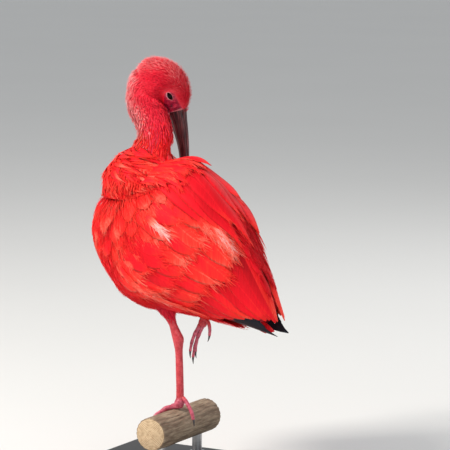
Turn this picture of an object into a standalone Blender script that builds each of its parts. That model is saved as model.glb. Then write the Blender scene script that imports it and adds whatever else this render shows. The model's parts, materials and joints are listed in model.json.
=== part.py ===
"""Scarlet ibis preening on one leg, life size, on a short cut branch held by a plain stand.

Sizes are millimetres. The bird heads to -X and its left side faces -Y. Heights are measured from
the standing foot and are lifted by FOOT_HEIGHT, so that the stand's underside is at Z = 0.
"""
import math
import random

import bmesh
import bpy
import numpy as np
from mathutils import Vector

MM = 0.001
GAP = 0.3  # left between pieces that touch
SEED = 5
FEATHER_SOLVER = "MANIFOLD"  # joins and cuts the pieces that carry many feathers
WING_CLEAR = 1.0  # kept between a leg and a wing's feathers
SWELL_SPARE = 1.06  # a swollen copy goes this much further out, for its flat faces
SUNK = 1.5  # how far a piece starts inside its neighbour, before the neighbour is cut out of it

# Stand and branch
FOOT_HEIGHT = 78.0
BASE_SIZE = (220.0, 150.0, 10.0)
BASE_EDGE = 2.5
ROD_RADIUS = 6.0
ROD_SPREAD = 42.0
PERCH_RADIUS = 20.0
PERCH_LENGTH = 132.0
PERCH_AXIS = (-4.0, -24.0)  # X and height of the branch's axis
PERCH_SIDES = 24
PERCH_RINGS = 5

# Body, measured back from the wing tips along an axis that slopes down to the tail
WING_TIP = (138.0, 0.0, 95.0)
AXIS_SLOPE = math.radians(28.5)
# along the axis, centre above it, half height, half width
COAT_ROWS = (
    (-288.0, 9.0, 0.5, 0.5),
    (-286.0, 9.0, 13.0, 11.0),
    (-276.0, 8.0, 33.0, 27.0),
    (-262.0, 10.0, 50.0, 41.0),
    (-242.0, 15.5, 69.5, 52.0),
    (-222.0, 20.0, 83.0, 59.0),
    (-200.0, 22.5, 92.5, 62.5),
    (-170.0, 24.0, 91.0, 63.5),
    (-138.0, 25.5, 77.5, 60.0),
    (-97.0, 25.0, 59.5, 50.0),
    (-55.0, 17.5, 37.5, 37.0),
    (-24.0, 9.5, 19.5, 26.0),
    (0.0, 3.0, 6.0, 19.0),
)
TORSO_ROWS = (
    (-288.0, 9.0, 0.0, 0.0),
    (-286.0, 9.0, 13.0, 10.0),
    (-276.0, 8.0, 33.0, 24.0),
    (-262.0, 10.0, 49.0, 35.0),
    (-242.0, 14.5, 67.5, 43.0),
    (-222.0, 17.5, 79.5, 48.0),
    (-200.0, 18.5, 87.0, 50.0),
    (-170.0, 18.5, 83.5, 49.0),
    (-138.0, 16.0, 68.0, 43.0),
    (-105.0, 8.5, 45.0, 31.0),
    (-80.0, 3.0, 26.0, 20.0),
    (-66.0, 2.0, 14.0, 12.0),
)
ROOF = 0.12  # how much narrower than an oval the body is towards the back
DENT_ALONG = -172.0  # a shallow hollow on the right of the back
DENT_REACH = 26.0
DENT_ANGLE = 0.42
DENT_SPREAD = 0.45
DENT_DEPTH = 7.5
TORSO_SIDES = 24
TORSO_RINGS = 20

# Neck: x, y, height, radius along the picture plane, radius across it
NECK_ROWS = (
    (-50.0, 0.0, 250.0, 56.0, 48.0),
    (-51.0, 0.5, 272.0, 49.0, 43.0),
    (-54.0, 2.0, 286.0, 41.0, 37.0),
    (-53.0, 4.0, 298.0, 31.0, 29.0),
    (-47.0, 8.0, 309.0, 23.5, 23.0),
    (-44.5, 12.5, 320.0, 21.0, 21.0),
    (-50.5, 19.5, 331.5, 20.0, 20.0),
    (-61.0, 27.5, 342.0, 20.0, 20.0),
    (-70.5, 35.0, 352.0, 21.5, 20.5),
    (-75.0, 41.5, 364.0, 23.5, 21.0),
    (-73.0, 45.5, 378.0, 25.0, 20.5),
    (-66.0, 47.5, 390.0, 22.0, 18.0),
)
NECK_LEVEL = (312.0, 338.0)  # rings lie level below the first height and square to the neck above the second
NECK_SIDES = 18
NECK_RINGS = 18
NECK_SPLIT = 11  # ring at which the lower length ends

# Head, in its own frame: forward, up, then half depth and half width
BILL_BASE = (-38.3, 54.0, 347.5)
HEAD_FACING = math.radians(22.0)
HEAD_LEAN = math.radians(11.0)
HEAD_ROWS = (
    (0.0, 0.0, 11.5, 8.5),
    (0.8, 7.0, 13.6, 11.2),
    (-1.2, 17.5, 18.6, 15.0),
    (-7.5, 29.5, 23.8, 18.0),
    (-16.8, 40.0, 24.6, 19.5),
    (-28.2, 48.0, 19.6, 17.2),
    (-39.0, 52.0, 10.6, 9.6),
    (-43.5, 53.0, 0.0, 0.0),
)
HEAD_SIDES = 20
HEAD_RINGS = 15
EYE_PLACE = (-5.6, 23.2)
EYE_RADIUS = 5.4
EYE_INSET = 11.2
LID_RADII = (4.9, 4.1)
LID_THICK = 1.0
LID_DEEP = 1.4  # depth of the ring's section as a share of its breadth
LID_OUT = 0.62  # how far out on the ball it lies, as a share of the radius
LID_TILT = math.radians(-58.0)  # the long axis of the opening, from forward towards up
LID_STEPS = 14
LID_SIDES = 5

# Bill
BILL_LENGTH = 134.0
BILL_ROOT = 3.0  # how far it starts inside the head, before the head is cut out of it
BILL_START = math.radians(9.5)
BILL_TURN = math.radians(45.0)
BILL_DEPTHS = ((0.0, 23.0), (0.12, 18.6), (0.26, 15.6), (0.42, 12.2), (0.7, 8.6), (0.92, 6.0), (1.0, 4.2))
BILL_WIDTHS = ((0.0, 16.5), (0.12, 13.5), (0.26, 11.6), (0.42, 9.8), (0.7, 7.6), (0.92, 5.8), (1.0, 4.4))
BILL_CHIN = 3.2  # how much deeper the lower half is at its base
BILL_CHIN_END = 0.4  # share of the length at which that has faded
BILL_LOWER_WIDTH = 0.93  # breadth of the lower half as a share of the upper's
BILL_ROUND = 0.9  # power of the sine that shapes a half's section
BILL_RINGS = 15
BILL_ARC = 9
UPPER_SHARE = 0.58
NOSTRIL_AT = 0.075  # share of the bill's length
NOSTRIL_LENGTH = 7.0
NOSTRIL_RADIUS = 0.9
NOSTRIL_TURN = math.radians(38.0)  # round the upper half from the mouth line
MOUTH_LINE = ((1.0, 3.0), (-3.0, 7.5), (-8.0, 11.5))  # forward and up, from the bill's corner to below the eye
MOUTH_RADII = (0.9, 0.75, 0.3)

# Standing leg
HOCK = (1.0, -10.0, 82.0)
THIGH_TOP = (-17.0, -18.0, 138.0)
FOOT = (0.0, -5.0, 3.0)
TOE_RADIUS = 3.1
TOE_TIP_RADIUS = 2.0
TOE_JOINTS = 3
TOE_SWELL = 0.1  # by which a toe swells at each joint
TOE_START = -2.0  # reach round the branch at which a front toe begins
TOE_SIDES = 8
TOE_RINGS = 10
CLAW_SIDES = 6
CLAW_RINGS = 5
# name, splay from straight ahead, length
FRONT_TOES = (("middle", -4.0, 52.0), ("outer", -36.0, 45.0), ("inner", 30.0, 40.0))
THIGH_SHARE = 0.56  # share of the run from the thigh's top to the hock that is feathered
# mm down from the thigh's top, and two half axes
THIGH_STEPS = ((0.0, 17.0, 11.5), (10.0, 15.5, 11.5), (20.0, 10.5, 9.5))
THIGH_END = (6.2, 5.8)
SHIN_TOP = (5.2, 4.6)
SHIN_WAIST = (8.0, 5.0, 4.4)
HOCK_ABOVE = (6.0, 6.4, 5.4)
HOCK_HALF = (7.0, 6.0)
HOCK_BELOW = (0.3, 0.2, -7.0, 5.8, 5.0)
TARSUS_TOP = (0.4, 0.8, -14.0, 4.9, 4.0)
# X, Y, height and two half axes
TARSUS_ROWS = ((1.2, -7.8, 45.0, 4.3, 3.5), (0.6, -6.0, 18.0, 4.4, 3.7), (0.2, -5.0, 9.0, 5.0, 4.5))
FOOT_ROWS = (
    (0.2, -5.0, 9.0 + SUNK, 5.0, 4.5),
    (0.0, -5.0, 6.0, 6.0, 5.8),
    (-0.8, -5.0, 2.4, 6.4, 6.6),
    (-1.4, -5.0, -1.6, 4.8, 5.2),
)
HALLUX_ROWS = (
    (3.0, -5.0, 11.0, 2.6, 2.6),
    (8.0, -6.0, 7.5, 2.7, 2.7),
    (13.5, -7.0, 1.5, 2.4, 2.4),
    (18.5, -8.0, -6.5, 2.3, 2.3),
    (21.0, -8.5, -14.0, 1.9, 1.9),
)
CLAW_LENGTH = 11.0
CLAW_ROOT = 0.86  # radius at a claw's root as a share of the toe's end
CLAW_POINT = 0.7  # power by which a claw thins to its tip
CLAW_ARCH = 1.2  # by which a front claw arches off the branch
CLAW_END = 0.4  # height of a front claw's tip over the branch

# Tucked leg
TUCKED_FOOT = (22.0, 12.0, 100.0)
TUCKED_TOE_SIZE = 0.84
TOE_FORWARD = 0.33  # a hanging toe's run forwards and down as shares of its length
TOE_DOWN = 0.92
TOE_BOW = 2.5
TOE_ROOTS = {"middle": 1.8, "outer": -1.0, "inner": -1.0}  # how far forwards or back a toe leaves the foot
TOE_GATHERED = 0.55  # how close together the toes leave the foot, as a share of their spread
# X, Y and height from the foot's joint, and two half axes
TUCKED_TARSUS = (
    (6.0, 1.0, 36.0, 5.6, 4.8),
    (5.0, 1.0, 22.0, 5.0, 4.2),
    (2.0, 0.5, 8.0, 4.8, 4.2),
    (0.0, 0.0, 0.0, 5.4, 5.6),
    (-0.8, 0.0, -3.5, 4.6, 5.4),
)
TUCKED_HALLUX = (
    (4.0, -1.5, 6.0, 2.4, 2.4),
    (9.0, -2.5, 2.0, 2.4, 2.4),
    (11.5, -3.0, -6.0, 2.0, 2.0),
    (11.0, -3.0, -14.0, 1.7, 1.7),
)
HANGING_CLAW = (9.0, 2.0)  # length, and how far it bends forwards or back
STANDING_HALLUX_CLAW = (9.0, -1.5)
TUCKED_HALLUX_CLAW = (8.0, -2.0)
TUCKED_TOES = (("middle", 0.0, 44.0), ("outer", 7.0, 38.0), ("inner", -7.0, 35.0))

RED = (0.72, 0.035, 0.02, 1.0)
DEEP_RED = (0.55, 0.02, 0.02, 1.0)
NECK_RED = (0.75, 0.09, 0.075, 1.0)
FACE_RED = (0.42, 0.03, 0.05, 1.0)
BILL_BROWN = (0.11, 0.035, 0.03, 1.0)
LEG_RED = (0.52, 0.085, 0.07, 1.0)
TOE_PINK = (0.42, 0.07, 0.11, 1.0)
CLAW_BLACK = (0.02, 0.02, 0.025, 1.0)
EYE_BLACK = (0.008, 0.006, 0.006, 1.0)
BARK_BROWN = (0.2, 0.14, 0.09, 1.0)
STAND_BLACK = (0.03, 0.03, 0.03, 1.0)
STEEL_GREY = (0.35, 0.35, 0.36, 1.0)


def clear_scene():
    for item in list(bpy.data.objects):
        bpy.data.objects.remove(item, do_unlink=True)


def finish(name, colour, roughness, metallic=0.0):
    """A plain surface of one colour."""
    made = bpy.data.materials.new(name)
    made.use_nodes = True
    shader = made.node_tree.nodes["Principled BSDF"]
    shader.inputs["Base Color"].default_value = colour
    shader.inputs["Roughness"].default_value = roughness
    shader.inputs["Metallic"].default_value = metallic
    made.diffuse_color = colour
    return made


def face_outwards(mesh):
    work = bmesh.new()
    work.from_mesh(mesh)
    bmesh.ops.recalc_face_normals(work, faces=work.faces)
    if work.calc_volume(signed=True) < 0:
        bmesh.ops.reverse_faces(work, faces=work.faces)
    work.to_mesh(mesh)
    work.free()


def make_object(name, points, faces, surface):
    """A closed mesh from points in millimetres."""
    placed = np.asarray(points, float) * MM
    placed[:, 2] += FOOT_HEIGHT * MM
    mesh = bpy.data.meshes.new(name)
    mesh.from_pydata(placed.tolist(), [], faces)
    mesh.validate()
    mesh.materials.append(surface)
    face_outwards(mesh)
    mesh.shade_smooth()
    made = bpy.data.objects.new(name, mesh)
    bpy.context.collection.objects.link(made)
    return made


def smooth_rows(rows, count):
    """Rows read at even steps from a smooth curve through the given rows."""
    rows = np.asarray(rows, float)
    steps = np.maximum(np.linalg.norm(np.diff(rows, axis=0), axis=1), 1e-6) ** 0.5
    knots = np.concatenate(([0.0], np.cumsum(steps)))
    slopes = np.gradient(rows, knots, axis=0)
    at = np.linspace(0.0, knots[-1], count)
    cell = np.clip(np.searchsorted(knots, at, side="right") - 1, 0, len(knots) - 2)
    width = (knots[cell + 1] - knots[cell])[:, None]
    s = (at - knots[cell])[:, None] / width
    start = (1 + 2 * s) * (1 - s) ** 2 * rows[cell]
    end = s ** 2 * (3 - 2 * s) * rows[cell + 1]
    leave = s * (1 - s) ** 2 * width * slopes[cell]
    arrive = s ** 2 * (s - 1) * width * slopes[cell + 1]
    return start + end + leave + arrive


def unit(vectors):
    vectors = np.asarray(vectors, float)
    return vectors / np.maximum(np.linalg.norm(vectors, axis=-1, keepdims=True), 1e-9)


def ring_faces(rings, sides, first_pole, last_pole):
    """Triangles of a tube of rings, each end closed by a pole point or a flat face."""
    faces = []
    for i in range(rings - 1):
        for j in range(sides):
            a = i * sides + j
            b = i * sides + (j + 1) % sides
            c = b + sides
            d = a + sides
            faces.append((a, b, c))
            faces.append((a, c, d))
    last = (rings - 1) * sides
    if first_pole is None:
        faces.append(tuple(range(sides))[::-1])
    else:
        faces.extend((first_pole, (j + 1) % sides, j) for j in range(sides))
    if last_pole is None:
        faces.append(tuple(last + j for j in range(sides)))
    else:
        faces.extend((last_pole, last + j, last + (j + 1) % sides) for j in range(sides))
    return faces


def close_rings(name, rings, surface):
    """A solid from a stack of rings. A ring shrunk to a point becomes a pole."""
    rings = np.asarray(rings, float)
    spread = np.linalg.norm(rings - rings.mean(axis=1, keepdims=True), axis=2).max(axis=1)
    extra = []
    first_pole = last_pole = None
    body = rings
    if spread[0] < 0.05:
        extra.append(body[0].mean(axis=0))
        body = body[1:]
        first_pole = True
    if spread[-1] < 0.05:
        extra.append(body[-1].mean(axis=0))
        body = body[:-1]
        last_pole = True
    count, sides = body.shape[:2]
    points = body.reshape(-1, 3)
    if extra:
        points = np.vstack([points, extra])
    if first_pole:
        first_pole = count * sides
    if last_pole:
        last_pole = len(points) - 1
    return make_object(name, points, ring_faces(count, sides, first_pole, last_pole), surface)


def loft(name, rows, sides, surface, across, tangent=None):
    """Oval rings along a path: each row is a centre, a radius along `across` and one at right angles."""
    rows = np.asarray(rows, float)
    centres = rows[:, :3]
    if tangent is None:
        tangent = unit(np.gradient(centres, axis=0))
    across = np.asarray(across, float)
    first = unit(across - (tangent @ across)[:, None] * tangent)
    second = np.cross(tangent, first)
    turn = np.linspace(0.0, 2 * math.pi, sides, endpoint=False)
    rings = (
        centres[:, None]
        + first[:, None] * rows[:, 3, None, None] * np.cos(turn)[None, :, None]
        + second[:, None] * rows[:, 4, None, None] * np.sin(turn)[None, :, None]
    )
    return close_rings(name, rings, surface)


def plate(name, outer, inner, surface):
    """A closed plate between two grids of points, split into triangles alike on both faces."""
    count, width = outer.shape[:2]
    points = np.vstack([outer.reshape(-1, 3), inner.reshape(-1, 3)])
    under = count * width
    faces = []
    for i in range(count - 1):
        for j in range(width - 1):
            a = i * width + j
            b = a + 1
            c = b + width
            d = a + width
            faces.append((a, b, c))
            faces.append((a, c, d))
            faces.append((under + c, under + b, under + a))
            faces.append((under + d, under + c, under + a))
    rim = [(0, j) for j in range(width)]
    rim += [(i, width - 1) for i in range(1, count)]
    rim += [(count - 1, j) for j in range(width - 2, -1, -1)]
    rim += [(i, 0) for i in range(count - 2, 0, -1)]
    for k, (i, j) in enumerate(rim):
        following = rim[(k + 1) % len(rim)]
        a = i * width + j
        b = following[0] * width + following[1]
        faces.append((a, under + a, under + b))
        faces.append((a, under + b, b))
    return make_object(name, points, faces, surface)


def swollen(source, distance=GAP):
    """A copy whose surface lies a little outside the source's."""
    copy = source.copy()
    copy.data = source.data.copy()
    bpy.context.collection.objects.link(copy)
    points = np.empty(len(copy.data.vertices) * 3)
    normals = np.empty_like(points)
    copy.data.vertices.foreach_get("co", points)
    copy.data.vertices.foreach_get("normal", normals)
    copy.data.vertices.foreach_set("co", points + normals * distance * MM * SWELL_SPARE)
    copy.data.update()
    return copy


def uncut_copy(item):
    """A copy kept out of the scene, for cutting later pieces."""
    copy = item.copy()
    copy.data = item.data.copy()
    return copy


def apply_modifiers(item):
    shown = item.evaluated_get(bpy.context.evaluated_depsgraph_get())
    mesh = bpy.data.meshes.new_from_object(shown)
    old = item.data
    item.modifiers.clear()
    item.data = mesh
    mesh.name = item.name
    bpy.data.meshes.remove(old)


def keep_largest(item):
    """Only the largest closed surface stays."""
    work = bmesh.new()
    work.from_mesh(item.data)
    left = set(work.faces)
    islands = []
    while left:
        seed = left.pop()
        island = [seed]
        queue = [seed]
        while queue:
            face = queue.pop()
            for edge in face.edges:
                for other in edge.link_faces:
                    if other in left:
                        left.remove(other)
                        island.append(other)
                        queue.append(other)
        islands.append(island)
    islands.sort(key=lambda faces: -sum(f.calc_area() for f in faces))
    loose = [face for island in islands[1:] for face in island]
    if loose:
        bmesh.ops.delete(work, geom=loose, context="FACES")
    stray = [v for v in work.verts if not v.link_faces]
    bmesh.ops.delete(work, geom=stray, context="VERTS")
    work.to_mesh(item.data)
    work.free()


def cut_by(item, cutter, solver="EXACT"):
    cut = item.modifiers.new("cut", "BOOLEAN")
    cut.operation = "DIFFERENCE"
    cut.object = cutter
    cut.solver = solver
    apply_modifiers(item)
    bpy.data.objects.remove(cutter, do_unlink=True)


def clear_of(item, *neighbours, distance=GAP, solver="EXACT"):
    """Cut a piece back so that it meets its neighbours face to face."""
    for neighbour in neighbours:
        cut_by(item, swollen(neighbour, distance), solver)
    keep_largest(item)
    return item


def combine(item, others, operation, solver):
    """One Boolean with a collection of closed pieces, applied, and the pieces removed."""
    group = bpy.data.collections.new("pieces")
    bpy.context.scene.collection.children.link(group)
    for other in others:
        for home in list(other.users_collection):
            home.objects.unlink(other)
        group.objects.link(other)
    join = item.modifiers.new("join", "BOOLEAN")
    join.operation = operation
    join.operand_type = "COLLECTION"
    join.collection = group
    join.solver = solver
    apply_modifiers(item)
    for other in list(group.objects):
        bpy.data.objects.remove(other, do_unlink=True)
    bpy.data.collections.remove(group)
    keep_largest(item)
    return item


def fuse(item, others, solver="EXACT"):
    """Join closed pieces to one body in one union."""
    return combine(item, others, "UNION", solver)


def cut_by_group(item, others, solver="EXACT"):
    """Cut closed pieces out of a body in one go."""
    return combine(item, others, "DIFFERENCE", solver)


ALONG = np.array((math.cos(AXIS_SLOPE), 0.0, -math.sin(AXIS_SLOPE)))
ABOVE = np.array((math.sin(AXIS_SLOPE), 0.0, math.cos(AXIS_SLOPE)))
SIDEWAYS = np.array((0.0, 1.0, 0.0))
COAT_TABLE = smooth_rows(COAT_ROWS, 400)


def body_place(along, centre, half_height, half_width, angle):
    """A point of an oval section, narrower towards the back like a roof, with the hollow taken off."""
    apart = ((np.asarray(along) - DENT_ALONG) / DENT_REACH) ** 2 + (np.sin(angle - DENT_ANGLE) / DENT_SPREAD) ** 2
    hollow = DENT_DEPTH * np.exp(-apart) * (np.cos(angle - DENT_ANGLE) > 0.0)
    half_height, half_width = half_height - hollow, half_width - hollow
    narrow = 1.0 - ROOF * np.maximum(np.cos(angle), 0.0)
    return (
        np.array(WING_TIP)
        + ALONG * np.asarray(along)[..., None]
        + ABOVE * (centre + half_height * np.cos(angle))[..., None]
        + SIDEWAYS * (half_width * narrow * np.sin(angle))[..., None]
    )


def coat_point(along, angle):
    """A point of the coat's outer surface. The angle runs from the back (0) down the right side."""
    centre, half_height, half_width = (np.interp(along, COAT_TABLE[:, 0], COAT_TABLE[:, k]) for k in (1, 2, 3))
    return body_place(along, centre, half_height, half_width, angle)


def coat_normal(along, angle):
    step = 0.5
    turn = 0.01
    run = coat_point(along + step, angle) - coat_point(along - step, angle)
    round_it = coat_point(along, angle + turn) - coat_point(along, angle - turn)
    return unit(np.cross(run, round_it))


def coat_place(along, angle, height):
    """A point `height` outside the coat's surface."""
    along, angle, height = np.broadcast_arrays(
        np.asarray(along, float), np.asarray(angle, float), np.asarray(height, float)
    )
    return coat_point(along, angle) + coat_normal(along, angle) * height[..., None]


def make_torso(surface):
    rows = smooth_rows(TORSO_ROWS, TORSO_RINGS)
    turn = np.linspace(0.0, 2 * math.pi, TORSO_SIDES, endpoint=False)
    along, centre, half_height, half_width = (rows[:, k, None] for k in range(4))
    rings = body_place(along + 0.0 * turn, centre, half_height, half_width, turn)
    return close_rings("torso", rings, surface)


# Wing: positions are measured along the body's axis, angles in degrees from the back
WING_FRONT = -266.0
WING_TOP = ((-266.0, 74.0), (-240.0, 50.0), (-200.0, 34.0), (-150.0, 27.0), (-110.0, 24.0))
WING_LOW = ((-266.0, 100.0), (-240.0, 116.0), (-200.0, 129.0), (-160.0, 143.0), (-110.0, 157.0))
WING_DEPTH = ((-266.0, 4.0), (-240.0, 11.0), (-140.0, 13.0), (-118.0, 8.0))
WING_CORE_END = -116.0
WING_CORE_SINK = 4.8
WING_EDGE_THICK = 1.5
WING_EDGE_SINK = 1.0
WING_SWELL = 1.6
WING_TAPER = 30.0  # length over which the core thins towards its hind end
WING_TAPER_SINK = 2.5
WING_RINGS = 9
WING_LINES = 7

# Shares of a feather's length at which it has a station, its width there, and how far it has risen
VANE_SHARES = np.array((0.0, 0.4, 0.8, 1.0))
VANE_WIDTHS = np.array((0.6, 1.0, 0.86, 0.2))
VANE_RISE = np.array((0.0, 0.12, 0.64, 1.0))
VANE_THICK = 0.9
VANE_TIP_THICK = 0.6
LAP = 1.1  # how far a feather's lower edge stands over its middle line, and its upper edge lies under it
VARY_LENGTH = 3.0
VARY_ANGLE = 1.0

# A row of feathers from its upper to its lower end: count, root and tip along the body (upper, middle,
# lower), root and tip angle (upper, lower), half width, height at the root's end and at the tip, root depth
PRIMARIES = (4, (-136.0, -136.0, -136.0), (-26.0, -13.0, -2.0), (116.0, 150.0), (84.0, 127.0), 8.5, -4.4, -4.2, 4.0)
SECONDARIES = (
    8, (-146.0, -142.0, -136.0), (-10.0, -25.0, -80.0), (29.0, 144.0), (20.0, 156.0), 12.0, -2.2, -1.0, 5.5,
)
GREATER_COVERTS = (
    7, (-178.0, -184.0, -176.0), (-82.0, -84.0, -122.0), (41.0, 134.0), (41.0, 147.0), 14.0, -2.4, 2.4, 5.5,
)
MEDIAN_COVERTS = (
    6, (-216.0, -219.0, -211.0), (-141.0, -138.0, -162.0), (50.0, 121.0), (50.0, 131.0), 13.0, -2.2, 3.0, 5.5,
)
LESSER_COVERTS = (
    5, (-246.0, -251.0, -244.0), (-192.0, -187.0, -204.0), (61.0, 110.0), (59.0, 119.0), 12.0, -2.0, 3.4, 5.0,
)
WING_ROWS = (PRIMARIES, SECONDARIES, GREATER_COVERTS, MEDIAN_COVERTS, LESSER_COVERTS)

# Mantle: a core, rows of cape feathers across the shoulders, and the long scapulars on both sides
MANTLE_SPAN = (-262.0, -176.0)
MANTLE_EDGE = 36.0
MANTLE_RISE = 2.6  # the feathers' middle line near their roots
MANTLE_CORE_RISE = 1.2
MANTLE_RINGS = 8
MANTLE_LINES = 9
MANTLE_END = 0.08  # least share of the square of its breadth, at the hind end
MANTLE_SWELL = 3.0
MANTLE_EDGE_RISE = 0.7
MANTLE_EDGE_SINK = 0.4
MANTLE_DEPTH = 13.0
CAPE_ROOT_SINK = 2.8
SCAPULAR_ROOT_SINK = 4.0
# root along, tip along, count, outer angle at the root and at the tip, half width, height at the tip
CAPE_ROWS = (
    (-246.0, -204.0, 6, 32.0, 43.0, 10.5, 5.6),
    (-226.0, -176.0, 7, 32.0, 43.0, 11.5, 6.6),
)
# root along, root angle, tip along, tip angle, height at the tip
SCAPULARS = (
    (-204.0, 6.0, -140.0, 8.0, 6.4),
    (-206.0, 19.0, -118.0, 19.0, 7.6),
    (-208.0, 31.0, -96.0, 31.0, 7.0),
    (-210.0, 41.0, -116.0, 45.0, 5.8),
)
SCAPULAR_WIDTH = 11.0
SCAPULAR_LIFT = 3.9

# Tail
TAIL_FEATHERS = 8
TAIL_ROOT = -62.0
TAIL_TIP = -14.0
TAIL_SPREAD = (7.0, 8.0)
TAIL_WIDTH = 5.6
TAIL_STEM = ((-72.0, 2.0, 11.0, 8.0), (-56.0, 1.5, 12.0, 6.0), (-48.0, 1.0, 11.0, 3.0))
TAIL_STEM_SIDES = 12
TAIL_SHORTER = 5.0  # by which the outer feathers fall short of the middle ones
TAIL_RAISE = 3.0
TAIL_DROP = 3.2  # by which the outer feathers lie lower
TAIL_FALL = 3.5  # by which each feather falls to its tip
TAIL_TILT = 0.12
TAIL_HALF_THICK = 0.45


def vane(along, angle, height, half_width, lap, surface, extra=0.0):
    """A feather: a thin tapered plate, arched across with the coat, over the coat at the given stations."""
    across = np.array((-1.0, 0.0, 1.0))
    turn = 0.01
    stride = coat_point(along, angle + turn) - coat_point(along, angle - turn)
    radius = np.linalg.norm(stride, axis=-1) / (2 * turn)
    width = half_width * VANE_WIDTHS + extra
    run = np.linalg.norm(np.gradient(coat_point(along, angle), axis=0), axis=-1) / np.abs(np.gradient(along))
    reach = along.copy()
    reach[0] -= extra / run[0]
    reach[-1] += extra / run[-1]
    angles = angle[:, None] + (width / radius)[:, None] * across
    heights = height[:, None] + lap * across * VANE_WIDTHS[:, None]
    half_thick = (np.where(VANE_SHARES > 0.95, VANE_TIP_THICK, VANE_THICK) / 2 + extra)[:, None]
    reaches = np.broadcast_to(reach[:, None], angles.shape)
    outer = coat_place(reaches, angles, heights + half_thick)
    inner = coat_place(reaches, angles, heights - half_thick)
    return plate("vane", outer, inner, surface)


def along_row(values, place):
    """A value between a row's upper end (0) and its lower end (1)."""
    return float(np.interp(place, np.linspace(0.0, 1.0, len(values)), values))


def wing_row(row, side, surface, chance):
    """One row of a wing's feathers, each lying over the next lower one."""
    count, root_along, tip_along, root_angle, tip_angle, half_width, root_height, tip_height, depth = row
    made = []
    for place in np.linspace(0.0, 1.0, count):
        root = along_row(root_along, place)
        tip = along_row(tip_along, place) + chance.uniform(-VARY_LENGTH, VARY_LENGTH)
        turned = along_row(root_angle, place), along_row(tip_angle, place) + chance.uniform(-VARY_ANGLE, VARY_ANGLE)
        along = root + (tip - root) * VANE_SHARES
        angle = side * np.radians(turned[0] + (turned[1] - turned[0]) * VANE_SHARES)
        height = root_height + (tip_height - root_height) * VANE_RISE
        height[0] -= depth
        made.append(vane(along, angle, height, half_width, side * LAP, surface))
    return made


def wing_core(name, side, surface):
    """The arm and the bases of the feathers."""
    along = np.linspace(WING_FRONT, WING_CORE_END, WING_RINGS)[:, None]
    across = np.linspace(0.0, 1.0, WING_LINES)[None, :]
    top = np.interp(along, *np.array(WING_TOP).T)
    low = np.interp(along, *np.array(WING_LOW).T)
    angle = side * np.radians(top + (low - top) * across)
    along = np.broadcast_to(along, angle.shape)
    depth = np.interp(along, *np.array(WING_DEPTH).T)
    swell = np.clip(np.sin(math.pi * across) * WING_SWELL, 0.0, 1.0)
    behind = np.clip((WING_CORE_END - along) / WING_TAPER, 0.0, 1.0)
    height = -WING_CORE_SINK - WING_EDGE_SINK * (1 - swell) - WING_TAPER_SINK * (1 - behind)
    outer = coat_place(along, angle, height)
    inner = coat_place(along, angle, height - WING_EDGE_THICK - (depth - WING_EDGE_THICK) * swell)
    return plate(name, outer, inner, surface)


def make_wing(name, side, surface, chance):
    """The folded wing: a core, then primaries, secondaries and three rows of coverts."""
    wing = wing_core(name, side, surface)
    feathers = []
    for row in WING_ROWS:
        feathers.extend(wing_row(row, side, surface, chance))
    return fuse(wing, feathers, FEATHER_SOLVER)


def mantle_core(surface):
    """The shoulders' feathers up to half way to their tips."""
    along = np.linspace(*MANTLE_SPAN, MANTLE_RINGS)[:, None]
    share = (along - MANTLE_SPAN[0]) / (MANTLE_SPAN[1] - MANTLE_SPAN[0])
    edge = np.radians(MANTLE_EDGE) * np.sqrt(np.clip(1 - share ** 3, MANTLE_END, 1.0))
    across = np.linspace(-1.0, 1.0, MANTLE_LINES)[None, :]
    angle = edge * across
    along = np.broadcast_to(along, angle.shape)
    swell = np.clip((1 - np.abs(across)) * MANTLE_SWELL, 0.0, 1.0) * np.ones_like(angle)
    outer = coat_place(along, angle, MANTLE_EDGE_RISE + MANTLE_CORE_RISE * swell)
    inner = coat_place(along, angle, -MANTLE_EDGE_SINK - MANTLE_DEPTH * swell)
    return plate("mantle", outer, inner, surface)


def mantle_feathers(surface, extra=0.0):
    """Rows of cape feathers over the shoulders, and the long scapulars on both sides."""
    made = []
    share = VANE_SHARES
    for root, tip, count, root_angle, tip_angle, half_width, tip_height in CAPE_ROWS:
        for place in np.linspace(-1.0, 1.0, count):
            along = root + (tip - root) * share
            angle = np.radians(place * (root_angle + (tip_angle - root_angle) * share))
            height = MANTLE_RISE + (tip_height - MANTLE_RISE) * VANE_RISE
            height[0] -= CAPE_ROOT_SINK
            made.append(vane(along, angle, height, half_width, LAP * np.sign(place), surface, extra))
    for side in (-1.0, 1.0):
        for root_along, root_angle, tip_along, tip_angle, tip_height in SCAPULARS:
            along = root_along + (tip_along - root_along) * share
            angle = side * np.radians(root_angle + (tip_angle - root_angle) * share)
            height = SCAPULAR_LIFT + (tip_height - SCAPULAR_LIFT) * VANE_RISE
            height[0] -= SCAPULAR_ROOT_SINK
            made.append(vane(along, angle, height, SCAPULAR_WIDTH, side * LAP, surface, extra))
    return made


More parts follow.
